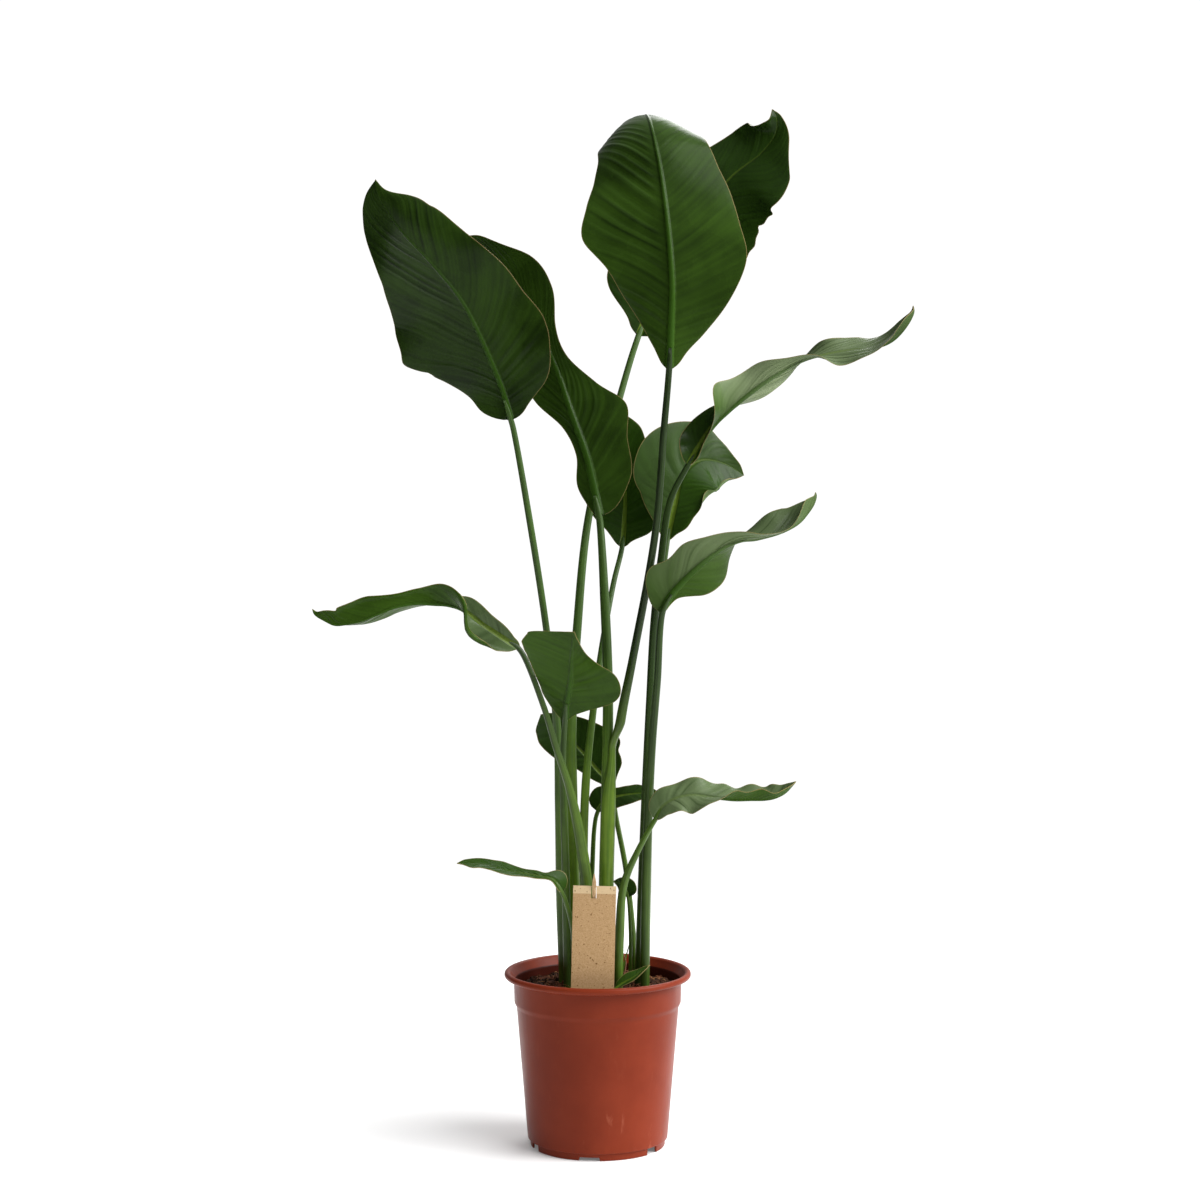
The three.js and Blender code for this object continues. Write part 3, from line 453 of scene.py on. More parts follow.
class Growth:
    """A leaf's centre line: a centripetal Catmull-Rom curve from below the soil to the tip,
    measured by its length, with the direction its upper side faces."""

    def __init__(self, stem, rib, face, rib_radius):
        """Cubic pieces of 24 points each. A piece's end slopes weigh the hops beside it by the
        square roots of the distances."""
        through = np.array([[*stem[0][:2], BURIED_Z], *[p[:3] for p in stem], *rib], float)
        ends = np.vstack([2 * through[0] - through[1], through, 2 * through[-1] - through[-2]])
        d = np.sqrt(np.linalg.norm(np.diff(ends, axis=0), axis=1))[:, None]
        d0, d1, d2 = d[:-2], d[1:-1], d[2:]
        p0, p1, p2, p3 = ends[:-3], ends[1:-2], ends[2:-1], ends[3:]
        m1 = ((p1 - p0) / d0 - (p2 - p0) / (d0 + d1) + (p2 - p1) / d1) * d1
        m2 = ((p2 - p1) / d1 - (p3 - p1) / (d1 + d2) + (p3 - p2) / d2) * d1
        s = (np.arange(24) / 24)[:, None, None]
        run = (p1 + m1 * s + (-3 * p1 + 3 * p2 - 2 * m1 - m2) * s ** 2
               + (2 * p1 - 2 * p2 + m1 + m2) * s ** 3)
        self.points = np.vstack([run.transpose(1, 0, 2).reshape(-1, 3), through[-1:]])
        hops = np.linalg.norm(np.diff(self.points, axis=0), axis=1)
        self.length = np.concatenate([[0], np.cumsum(hops)])
        self.knots = self.length[::24]
        self.base, self.end = self.knots[len(stem) + 1], self.length[-1]
        self.radii = [stem[0][3], *[p[3] for p in stem], rib_radius]
        self.rib_radius, self.face = rib_radius, face

    def at(self, l):
        """Point at length l, on the straight line between the two nearest points."""
        return np.stack([np.interp(l, self.length, self.points[:, k]) for k in range(3)], -1)

    def axes(self, l):
        """Point, tangent, upper side and right-hand direction at length l."""
        ahead = unit(self.at(np.minimum(l + 2, self.end)) - self.at(np.maximum(l - 2, 0)))
        t = np.clip((l - self.base) / (self.end - self.base), 0, 1)
        looks = unit(np.array([f[1:] for f in self.face], float))
        upper = np.stack([eased(t, [f[0] for f in self.face], looks[:, k]) for k in range(3)], -1)
        upper = unit(upper - np.sum(upper * ahead, -1, keepdims=True) * ahead)
        return self.at(l), ahead, upper, np.cross(ahead, upper)

    def radius(self, l):
        """Stem radius up to the blade, then the rib's, which thins towards the tip."""
        t = np.clip((l - self.base) / (self.end - self.base), 0, 1)
        return np.where(l <= self.base, np.interp(l, self.knots[:len(self.radii)], self.radii),
                        RIB_TIP_R + (self.rib_radius - RIB_TIP_R) * (1 - t) ** 1.3)


def half_width(t, widths):
    """sqrt(t) (1 - t) times a smooth curve, so the blade opens round at its base and ends in a point."""
    t = np.clip(t, 0, 1)
    at = np.array(WIDTH_AT)
    shape = np.array(widths) / (np.sqrt(at) * (1 - at))
    return np.sqrt(t) * (1 - t) * eased(t, at, shape)


def ribbing(u, q, count, seed):
    """Side veins as soft swells between narrow furrows, unevenly spaced, for the half q lies on."""
    pick = np.random.default_rng(seed)
    total = 0
    for side in (-1, 1):
        a, b, c = pick.uniform(0, 2 * np.pi, 3)
        uneven = count * u + 0.35 * np.sin(2 * np.pi * 2.3 * u + a) + 0.22 * np.sin(2 * np.pi * 5.7 * u + b)
        beat = 2 * np.pi * uneven
        swell = np.abs(np.sin(beat / 2 + c)) ** 0.7 - 0.65 + 0.16 * np.sin(2.7 * beat + a)
        strong = 0.65 + 0.35 * np.sin(2 * np.pi * 1.7 * u + c)
        total = total + np.where(np.sign(q) == side, swell * strong, 0)
    return total


def blade(leaf, seed, grow, rows, columns):
    """Two faces a blade's thickness apart on one grid: u along the veins' roots from base to tip,
    q across from -1 (left margin) to 1 (right). A row follows a vein, so it lies at
    t = 1 - (1 - u)^(1 + sweep |q|^1.2) on the rib. Across, each half rises by its fold, bends more by
    its cup and rolls at the margin; the angle is summed up into a curve. Vein swells, margin waves and
    a keel for the rib on the underside are added along the normal."""
    u = np.linspace(0, 1, rows)
    u = (0.0012 + 0.9976 * (0.55 * u + 0.45 * (0.5 - 0.5 * np.cos(np.pi * u))))[:, None]
    span = grow.end - grow.base
    rib = grow.radius(grow.base + u * span)
    halves = []
    for side, widths in ((-1, leaf["left"]), (1, leaf["right"])):
        w = np.maximum(half_width(u, widths), 0.4)
        rib_q = np.minimum(0.3, 1.3 * rib / w)
        rim_q = np.minimum(0.12, 2.4 / w)
        near = rib_q * np.sin(np.linspace(0, 1, 7)[1:] * np.pi / 2)
        far = rib_q + (1 - rim_q - rib_q) * np.linspace(0, 1, columns + 1)[1:] ** 1.05
        rim = 1 - rim_q * np.array([0.6, 0.3, 0.12, 0.0])
        halves.append(side * np.hstack([near, far, rim]))
    q = np.hstack([halves[0][:, ::-1], np.zeros((rows, 1)), halves[1]])
    far_out = np.abs(q)
    sweep = np.where(q >= 0, *leaf.get("sweep", (0.6, 0.6)))
    t = 1 - (1 - u) ** (1 + sweep * far_out ** 1.2)
    point, _, upper, right = grow.axes(grow.base + t * span)
    w = np.where(q >= 0, half_width(t, leaf["right"]), half_width(t, leaf["left"]))
    for side, where, much, spread in leaf.get("lobes", ()):
        w = w + np.where(np.sign(q) == side, much * np.exp(-((t - where) / spread) ** 2), 0)
    w = np.maximum(w, 0.2)

    def by_half(key, otherwise=0):
        """A table's values along the blade: its right ones where q >= 0, else its left ones."""
        at, to_right, to_left = zip(*leaf.get(key, [[0, otherwise, otherwise]]))
        return np.where(q >= 0, eased(t, at, to_right), eased(t, at, to_left))

    rolled = step(far_out, leaf.get("roll_from", 0.8), leaf.get("roll_to", 1.0)) ** 2
    rise = np.radians(by_half("fold", 8) + by_half("cup") * far_out + by_half("roll") * rolled)
    middle = q.shape[1] // 2
    dq = np.diff(far_out, axis=1)

    def run_out(f):
        """Sum of f along q by the trapezoid rule, 0 on the rib."""
        part = 0.5 * (f[:, 1:] + f[:, :-1]) * dq
        whole = np.hstack([np.zeros((rows, 1)), np.cumsum(part, 1)])
        return whole - whole[:, middle:middle + 1]

    sideways, lift = run_out(np.cos(rise)), run_out(np.sin(rise))
    amp, number, phase = leaf["wave"]
    high = amp * np.sin(2 * np.pi * number * t + phase + np.where(q >= 0, 0, 2.0))
    high = high * far_out ** 2 * np.minimum(1, 6 * t * (1 - t))
    veins = ribbing(u, q, leaf.get("veins", 13), seed) * step(far_out, 0.03, 0.2)
    veins = veins * (1 - 0.8 * step(far_out, 0.55, 1.0)) * np.minimum(1, 8 * u * (1 - u))
    veins = veins * np.where(q >= 0, *leaf.get("relief", (0.9, 0.9)))
    high = high + veins
    sheet = point + (np.sign(q) * w * sideways)[..., None] * right + (w * lift + high)[..., None] * upper

    normal = unit(np.cross(np.gradient(sheet, axis=1), np.gradient(sheet, axis=0)))
    s = far_out * w
    keel = np.sqrt(np.clip(1 - (s / (1.3 * rib)) ** 2, 0, 1)) * np.minimum(1, w / (1.6 * rib))
    thick = BLADE_THICK / 2 * (1 - 0.7 * step(far_out, 0.93, 1))
    top = sheet + (thick - 0.35 * rib * keel ** 2)[..., None] * normal
    under = sheet - (thick + (1.15 * rib - 0.4) * keel)[..., None] * normal
    mark = {"rib": keel * leaf.get("rib_shows", 1.0), "vein": veins,
            "margin": 1 - step((1 - far_out) * w, 0.2, 1.0), "along": t + 0 * q,
            "bloom": by_half("bloom"), "under_bloom": by_half("under_bloom")}
    return top, under, mark, np.stack([q * w * MM, (u * span * MM) + 0 * q], -1)


def stem_run(grow, l):
    """The stem's middle, radius and axes at lengths l. Past the blade's base it sinks under the
    blade and thins, so that it ends inside the rib's keel."""
    point, ahead, upper, right = grow.axes(l)
    radius, base, end = grow.radius(l), grow.base, grow.base + RIB_RUN
    sink = 0.55 * step(l, base - 12, base + 10) + 0.5 * step(l, base + 6, end)
    shrink = 1 - 0.45 * step(l, base + 4, end)
    return point - (radius * sink)[:, None] * upper, radius * shrink, ahead, upper, right


def ring_round(centre, r, a, upper, right):
    """Rings round the points of a line, at angles a that run from the upper side to the right."""
    return (centre[:, None] + (r * np.cos(a))[..., None] * upper[:, None]
            + (r * np.sin(a))[..., None] * right[:, None])


def stem_tube(grow, sides=22):
    """Round stem with a shallow channel on its upper side."""
    l = np.concatenate([np.linspace(STEM_FROM, grow.base - 14, max(12, int(grow.base / 9))),
                        np.linspace(grow.base - 9, grow.base + RIB_RUN, 12)])
    centre, radius, _, upper, right = stem_run(grow, l)
    a = 2 * np.pi * np.arange(sides) / sides
    much = step(l, 0.25 * grow.base, 0.7 * grow.base)[:, None]
    channel = 1 - 0.16 * np.maximum(0, np.cos(a)) ** 5 * much
    return l, a, ring_round(centre, radius[:, None] * channel, a, upper, right)


def close_ends(rows, columns, start):
    """Strips of quads over the first and the last ring of a tube with an even number of points."""
    j = np.arange(columns // 2 - 1)
    cap = np.stack([j, columns - 1 - j, columns - 2 - j, j + 1], -1)
    return np.vstack([start + cap, start + (rows - 1) * columns + cap[:, ::-1]])


def write_marks(piece, marks, uv):
    """Stores each value of a point as an attribute, and the place on the leaf's skin as a UV map."""
    mesh = piece.data
    for name, values in marks.items():
        stored = mesh.attributes.new(name, "FLOAT", "POINT")
        stored.data.foreach_set("value", np.asarray(values, np.float32).ravel())
    corner = np.empty(len(mesh.loops), np.int32)
    mesh.loops.foreach_get("vertex_index", corner)
    layer = mesh.uv_layers.new(name="skin")
    layer.data.foreach_set("uv", np.asarray(uv, np.float32).reshape(-1, 2)[corner].ravel())


def grow_leaf(name, tube=None, **leaf):
    """Makes a leaf's stem and blade as one piece with three finishes: stem, underside, upper side.
    Its number seeds its veins. Returns its centre line."""
    grow = Growth(leaf["stem"], leaf["rib"], leaf["face"], leaf["rib_radius"])
    longest = max(leaf["right"] + leaf["left"])
    span = grow.end - grow.base
    rows = int(np.clip(span / ROW_EVERY, 36, 210))
    columns = int(np.clip(longest / COLUMN_EVERY, 8, 34))
    top, under, mark, skin = blade(leaf, int(name[-2:]), grow, rows, columns)
    rows, columns = top.shape[:2]
    l, a, tube_points = tube(grow) if tube else stem_tube(grow)
    count = rows * columns
    sheet = grid_faces(rows, columns)
    i, j = np.arange(rows - 1), np.arange(columns - 1)
    left, first, last = i * columns, j, (rows - 1) * columns + j
    right = left + columns - 1
    rim = np.vstack([
        np.stack([left, left + columns, left + columns + count, left + count], -1),
        np.stack([right, right + count, right + count + columns, right + columns], -1),
        np.stack([first, first + count, first + 1 + count, first + 1], -1),
        np.stack([last, last + 1, last + 1 + count, last + count], -1)])
    rings, sides = tube_points.shape[:2]
    stem_faces = np.vstack([grid_faces(rings, sides, closed=True, start=2 * count)[:, ::-1],
                            close_ends(rings, sides, 2 * count)])
    faces = np.vstack([sheet, sheet[:, ::-1] + count, rim, stem_faces])
    points = np.vstack([top.reshape(-1, 3), under.reshape(-1, 3), tube_points.reshape(-1, 3)])
    piece = new_piece(name + "_growth", points, faces, [name])
    for material in (stem_skin, blade_under, blade_upper):
        piece.data.materials.append(material)
    kind = np.concatenate([np.full(len(sheet), 2), np.full(len(sheet), 1), np.full(len(rim), 1),
                           np.zeros(len(stem_faces))])
    piece.data.polygons.foreach_set("material_index", kind.astype(np.int32))
    rest = rings * sides
    extra = {"rib": np.ones(rest), "vein": np.zeros(rest), "margin": np.zeros(rest),
             "along": np.repeat((l - grow.base) / span, sides), "bloom": np.zeros(rest)}
    under_bloom = mark.pop("under_bloom")
    marks = {k: np.concatenate([v.ravel(), v.ravel(), extra[k]]) for k, v in mark.items()}
    marks["bloom"][count:2 * count] = under_bloom.ravel()
    marks["tone"] = np.full(len(points), leaf.get("tone", 0.5))
    marks["tone"][2 * count:] = leaf.get("stem_tone", 0.6)
    marks["fresh"] = stem_fresh(points[:, 2], leaf.get("fresh", 0.5))
    marks["brown"] = leaf_brown(points, leaf.get("brown", ()))
    stem_uv = np.stack([np.tile(a * 0.006, rings), np.repeat(l * MM, sides)], -1)
    write_marks(piece, marks, np.vstack([skin.reshape(-1, 2), skin.reshape(-1, 2), stem_uv]))
    return grow


def stem_fresh(z, much):
    """How light and yellow a stem is: most near the soil, gone by half the plant's height."""
    return much * (1 - step(z, 330, 660))


def leaf_brown(points, spots):
    """Dry brown patches: 1 at each spot, falling off over its reach."""
    total = np.zeros(len(points))
    for x, y, z, reach in spots:
        total = np.maximum(total, np.exp(-np.sum((points - (x, y, z)) ** 2, 1) / reach ** 2))
    return total


def mark_of(tree, name):
    """A value stored on the piece's points."""
    n = tree.nodes.new("ShaderNodeAttribute")
    n.attribute_name = name
    return n.outputs["Fac"]


def see_through(shader, colour, share):
    """Lets a share of the light pass through the leaf as a soft green glow."""
    tree = shader.id_data
    glow = tree.nodes.new("ShaderNodeBsdfTranslucent")
    put(glow.inputs["Color"], colour)
    both = tree.nodes.new("ShaderNodeMixShader")
    both.inputs[0].default_value = share
    put(both.inputs[1], shader.outputs[0])
    put(both.inputs[2], glow.outputs[0])
    put(tree.nodes["Material Output"].inputs["Surface"], both.outputs[0])


def leaf_skin(name, dark, light, rib_colour, gloss, rough):
    """Blade finish. Green that varies in clouds and in fine lines along the veins, with painted shade in the
    vein furrows and painted light on their swells;
    some leaves have a silvery waxy bloom with painted sheen on it. The rib is paler near the stem, the margin
    a thin tan line, dry spots brown."""
    material, tree, shader = finish(name, gloss=gloss)
    lines = noise(place(tree, (4, 170, 1), "skin"), 1.0, 1.5, 0.5)
    cloud = noise(place(tree), 16, 3, 0.55)
    vein = mark_of(tree, "vein")
    tone = reckon("ADD", between(cloud, 0.3, 0.7, -0.16, 0.16), mark_of(tree, "tone"))
    tone = reckon("ADD", tone, between(lines, 0.3, 0.7, -0.09, 0.09))
    # Painted shade and light: darker in the vein furrows, lighter on their swells.
    tone = reckon("ADD", tone, between(vein, -1.0, 0.5, -0.22, 0.12), clamp=True)
    green = mix(tone, dark, light)
    # Painted sheen on a waxy bloom: a pale silvery grey-green laid on each half as listed, most on the vein
    # swells.
    bloom = reckon("MULTIPLY", mark_of(tree, "bloom"), between(vein, -1.0, 0.5, 0.25, 1.15))
    green = mix(bloom, green, (142, 158, 118))
    low = between(mark_of(tree, "along"), 0.9, 0.0, 0.25, 1.0)
    rib = between(mark_of(tree, "rib"), 0.3, 0.8)
    green = mix(reckon("MULTIPLY", rib, low), green, rib_colour)
    green = mix(reckon("MULTIPLY", mark_of(tree, "margin"), 0.6), green, (170, 146, 96))
    brown = reckon("ADD", mark_of(tree, "brown"), reckon("MULTIPLY", cloud, 0.4))
    green = mix(between(brown, 0.55, 0.85), green, (128, 84, 40))
    put(shader.inputs["Base Color"], green)
    put(shader.inputs["Roughness"], between(cloud, 0.25, 0.75, rough - 0.05, rough + 0.05))
    calm = between(mark_of(tree, "along"), 0.85, 0.35, 0.1, 1.0)
    bump(shader, reckon("MULTIPLY", lines, calm), 0.0012, 0.45)
    see_through(shader, mix(0.5, green, (96, 140, 16)), 0.15)
    return material


blade_under = leaf_skin("blade underside", (20, 34, 9), (60, 90, 24), (52, 84, 22), 0.1, 0.28)
blade_upper = leaf_skin("blade upper side", (15, 27, 7), (46, 74, 18), (92, 114, 34), 0.12, 0.28)

stem_skin, tree, shader = finish("stem skin", gloss=0.28)
streak = noise(place(tree, (500, 7, 1), "skin"), 1.0, 3, 0.6)
cloud = noise(place(tree), 26, 3, 0.6)
tone = reckon("ADD", mark_of(tree, "tone"), between(streak, 0.3, 0.7, -0.2, 0.2), clamp=True)
green = mix(tone, (17, 30, 8), (68, 98, 36))
young = mix(between(streak, 0.3, 0.7), (86, 120, 26), (118, 148, 46))
green = mix(mark_of(tree, "fresh"), green, young)
green = mix(between(cloud, 0.35, 0.75, 0.0, 0.35), green, (34, 52, 20))
green = mix(mark_of(tree, "brown"), green, (122, 82, 58))
put(shader.inputs["Base Color"], green)
put(shader.inputs["Roughness"], between(cloud, 0.3, 0.7, 0.3, 0.42))
bump(shader, streak, 0.0004, 0.4)

grow_leaf("leaf_01",
    rib_radius=3.6, tone=0.32, stem_tone=0.75, fresh=0.25, relief=(1.0, 1.1), sweep=(1.8, 0.9),
    lobes=[(1, 0.31, 6, 0.03), (1, 0.25, -5, 0.012)],
    cup=[[0, 0, 4], [0.5, 0, 16], [0.8, 0, 55], [1, 0, 60]],
    stem=[[-41, 5, 206, 9], [-45, 4, 315, 8.5], [-48, 0, 444, 7], [-51, -8, 530, 5.2],
          [-64, -32, 660, 4.4], [-85, -55, 803, 4.2]],
    rib=[[-107, -70, 928], [-117, -75, 964], [-133, -82, 1004], [-152, -92, 1046], [-170, -102, 1078],
         [-204, -118, 1119], [-241, -132, 1159], [-265, -138, 1200], [-268, -138, 1216]],
    face=[[0, 0.45, 0.85, 0.2], [0.5, 0.35, 0.85, 0.35], [1, 0.5, 0.6, 0.5]],
    right=[37, 55, 82, 122, 124, 116, 102, 87, 77, 62, 32],
    left=[22, 57, 79, 83, 73, 70, 64, 55, 48, 32, 10],
    fold=[[0, 10, 10]], wave=[4, 2.5, 0])

second = grow_leaf("leaf_02",
    rib_radius=4.5, tone=0.52, stem_tone=0.75, fresh=0.75, relief=(0.9, 1.1), veins=24, sweep=(1.0, 1.0),
    stem=[[9, -3, 206, 8], [9, -3, 316, 8], [12, -3, 445, 8], [13, -2, 528, 7], [13, 4, 598, 6.5],
          [9, 14, 700, 6]],
    rib=[[2, 25, 807], [-5, 30, 845], [-14, 34, 883], [-35, 40, 942], [-56, 45, 1002], [-97, 45, 1084],
         [-144, 38, 1140], [-186, 30, 1159]],
    face=[[0, 0.2, 0.95, 0.1], [0.5, 0.1, 0.95, 0.3], [1, 0.3, 0.8, 0.5]],
    right=[12, 22, 13, 18, 42, 50, 48, 40, 35, 22, 12],
    left=[28, 50, 57, 70, 42, 20, 23, 42, 44, 24, 14],
    wave=[3, 2.5, 1])

grow_leaf("leaf_04",
    rib_radius=4, tone=0.45, stem_tone=0.95, fresh=0.9, relief=(0.7, 0.7), sweep=(0.9, 0.9),
    lobes=[(1, 0.66, 4, 0.02), (1, 0.57, -5, 0.012), (1, 0.5, 4, 0.02), (1, 0.43, -3, 0.012)],
    stem=[[-27, 22, 206, 8], [-31, 24, 311, 8.5], [-34, 26, 441, 8.2], [-34, 28, 544, 7],
          [-27, 38, 655, 5.8], [-11, 65, 810, 5], [28, 100, 958, 4.5]],
    rib=[[54, 120, 1043], [75, 126, 1090], [98, 130, 1132], [135, 138, 1193], [175, 142, 1251],
         [216, 142, 1284], [234, 138, 1308], [235, 130, 1328], [229, 127, 1339]],
    face=[[0, 0.2, -0.95, 0.2], [0.5, 0.1, -0.95, 0.3], [1, 0, -0.8, 0.5]],
    right=[22, 44, 66, 80, 83, 76, 76, 75, 66, 22, 8],
    left=[19, 60, 76, 84, 84, 80, 66, 50, 48, 38, 22],
    wave=[4, 2, 0])

# The third leaf's stem clasps the second's: a C-shaped sheath up to a thin arched edge.
SHEATH_GAP, SHEATH_WALL = 0.6, 2.6
SHEATH_FACES = -35               # degrees round Z, the direction of its middle
SHEATH_LOW, SHEATH_ARCH = 110, 48      # degrees it reaches each way, low down and at its arch
SHEATH_SEAM = 78                 # degrees from the sheath's middle to its edges on the round stem
SHEATH_FROM, ARCH_FROM, ARCH_TO, SHEATH_OPENS = 185, 440, 508, 548     # heights
STEM_RINGS = 60                        # on the round stem above the sheath


def sheathed_tube(grow, inner, half=22):
    """Rings at rising heights. Low down, a ring is a C of the sheath's wall round the inner stem;
    above the arch it turns point by point into the leaf's own round stem."""
    z = np.concatenate([np.linspace(SHEATH_FROM, ARCH_FROM, 34),
                        np.linspace(ARCH_FROM + 3, SHEATH_OPENS, 30)])
    opened = np.interp(SHEATH_OPENS + 2, grow.points[:, 2], grow.length)
    l = np.concatenate([np.interp(z, grow.points[:, 2], grow.length),
                        np.linspace(opened, grow.base + RIB_RUN, STEM_RINGS)])
    z = np.concatenate([z, np.full(STEM_RINGS, SHEATH_OPENS + 1.0)])
    along = np.interp(z, inner.points[:, 2], inner.length)
    core, core_r = inner.at(along), inner.radius(along)
    reach = (SHEATH_LOW + (SHEATH_ARCH - SHEATH_LOW) * step(z, ARCH_FROM, ARCH_TO))[:, None]
    outside = np.arange(2 * half) < half
    s = np.where(outside, np.arange(2 * half), 2 * half - 1 - np.arange(2 * half)) / (half - 1)
    inside_r = (core_r + SHEATH_GAP)[:, None]
    wall = SHEATH_WALL * (1 - 0.75 * np.abs(2 * s - 1) ** 6)
    a = np.radians(SHEATH_FACES + (2 * s - 1) * reach)
    r = inside_r + np.where(outside, wall, 0)
    wrapped = core[:, None] + round_z(r, a, 0)
    centre, radius, ahead, _, _ = stem_run(grow, l)
    turned = 2 * SHEATH_SEAM * s
    b = np.where(outside, turned - SHEATH_SEAM, 180 + SHEATH_SEAM - turned)
    b = np.radians(SHEATH_FACES + b)[:, None]
    side = unit(np.cross(ahead, np.array([0, 1.0, 0])))
    x_way = side * np.sign(side[:, :1])
    y_way = np.cross(ahead, x_way)
    tube = centre[:, None] + radius[:, None, None] * (
        np.cos(b) * x_way[:, None] + np.sin(b) * y_way[:, None])
    open_ = step(z, ARCH_TO, SHEATH_OPENS)[:, None, None]
    open_[-STEM_RINGS:] = 1
    return l, a[0], wrapped * (1 - open_) + tube * open_


grow_leaf("leaf_03",
    rib_radius=4, tone=0.5, stem_tone=0.2, fresh=1.0, relief=(2.2, 0.6), veins=21, sweep=(0.75, 0.5),
    stem=[[24, -12, 206, 6.5], [24, -12, 316, 6.5], [25, -12, 445, 6.5], [27, -13, 530, 6.5],
          [44, -25, 625, 5.2], [63, -45, 728, 4.8], [74, -62, 804, 4.6], [82, -82, 915, 4.3]],
    rib=[[88, -95, 990], [90, -103, 1041], [91, -110, 1088], [88, -114, 1136], [83, -112, 1184],
         [77, -102, 1230], [70, -84, 1270], [64, -50, 1300], [60, -8, 1312], [58, 40, 1308]],
    face=[[0, 0, 1, 0.1], [0.5, 0, 1, 0], [0.75, 0, 0.9, -0.4], [1, 0, 0.3, -1]],
    right=[14, 31, 59, 79, 106, 97, 83, 76, 80, 66, 40],
    left=[16, 41, 72, 94, 89, 82, 72, 70, 74, 62, 38],
    fold=[[0, 8, 8], [0.5, 6, 6], [0.7, 2, 2], [1, 2, 2]],
    cup=[[0, 4, 4], [0.5, 8, 8], [0.65, 32, 32], [0.8, 75, 75], [1, 85, 85]], wave=[4, 2, 0],
    tube=lambda grow: sheathed_tube(grow, second))


# ---- Middle leaves. Younger blades lower on the plant, several of them turned over on the way to
# their tips, so that the paler underside and the dark upper side both show, with painted silvery sheen.
grow_leaf("leaf_05",
    relief=(1.2, 1.2), sweep=(1.2, 1.0), veins=16, rib_radius=3.6, tone=0.55, stem_tone=0.25, fresh=0.15,
    under_bloom=[[0, 0, 0], [0.2, 0, 0], [0.3, 0.65, 0.75], [0.5, 0.65, 0.7], [0.6, 0.2, 0.25],
                 [1, 0.15, 0.2]],
    bloom=[[0, 0, 0], [0.3, 0, 0], [0.5, 0.3, 0.3], [1, 0.3, 0.3]],
    stem=[[55, -10, 206, 8], [58, -10, 317, 7.5], [62, -10, 446, 6.5], [67, -12, 574, 5.5],
          [72, -16, 676, 5], [80, -20, 752, 4.6], [92, -24, 828, 4.2]],
    rib=[[114, -25, 872], [128, -26, 896], [146, -28, 922], [179, -31, 952], [223, -30, 984],
         [258, -26, 1003], [290, -20, 1012], [325, -12, 1018], [352, -6, 1020], [374, -2, 1029],
         [392, 0, 1048], [401, 2, 1066], [400, 3, 1074]],
    face=[[0, 0.1, -1, 0], [0.1, -0.6, -0.7, 0.4], [0.15, -0.72, -0.5, 0.48], [0.2, -0.7, -0.25, 0.6],
          [0.26, -0.55, 0.6, 0.55], [0.35, -0.2, 0.95, 0.25], [0.48, -0.15, 0.6, 0.8], [0.56, -0.1, 0, 1],
          [0.63, -0.1, -0.75, 0.65], [0.72, -0.2, -0.6, 0.75], [0.82, -0.3, -0.3, 0.9], [1, -0.5, -0.2, 0.8]],
    right=[7, 12, 50, 30, 25, 14, 25, 28, 30, 20, 10], left=[20, 28, 24, 22, 22, 26, 22, 20, 24, 18, 9],
    fold=[[0, 30, 30], [0.25, 30, 32], [0.42, 12, 12], [0.6, 5, 12], [0.68, 14, 18], [0.74, 40, 28],
          [0.82, 55, 32], [1, 55, 35]],
    wave=[1.5, 3, 0])

grow_leaf("leaf_06",
    rib_radius=4, tone=0.75, stem_tone=0.5, fresh=0.25, relief=(0.7, 1.1),
    bloom=[[0, 0, 0.06]], under_bloom=[[0, 0.3, 0.1]],
    stem=[[60, 10, 206, 7], [62, 10, 314, 6.5], [65, 14, 442, 6], [69, 22, 571, 5.5],
          [77, 40, 673, 4.8]],
    rib=[[90, 60, 775], [95, 62, 799], [102, 67, 827], [108, 74, 853], [120, 84, 870], [136, 94, 879],
         [155, 103, 878], [174, 111, 871], [193, 117, 859]],
    face=[[0, 0, -1, 0.1], [0.5, 0, -1, 0.2], [1, 0.1, -0.9, 0.4]],
    right=[8, 21, 29, 43, 60, 62, 61, 60, 50, 26, 12], left=[10, 22, 40, 52, 64, 68, 61, 46, 26, 12, 6],
    roll=[[0, 0, 0], [0.2, 0, 0], [0.35, 160, 0], [0.85, 160, 0], [0.95, 60, 0], [1, 0, 0]],
    roll_from=0.74, roll_to=0.88, fold=[[0, 10, 10]], wave=[3, 2, 0])

grow_leaf("leaf_07",
    rib_radius=3.4, tone=0.8, stem_tone=0.8, fresh=0.9,
    stem=[[-15, 3, 206, 5], [-18, 6, 366, 5.5], [-15, 12, 468, 5.5], [-5, 28, 562, 4.5],
          [7, 50, 646, 4], [21, 80, 720, 3.6]],
    rib=[[32, 100, 765], [35, 108, 800], [36, 116, 840], [29, 122, 886], [19, 124, 919], [7, 120, 952]],
    face=[[0, 0, -1, 0.1], [1, 0, -1, 0.2]],
    right=[9, 33, 40, 40, 38, 38, 38, 38, 35, 20, 8], left=[11, 22, 42, 53, 58, 61, 60, 53, 40, 22, 10],
    wave=[2, 2, 0])

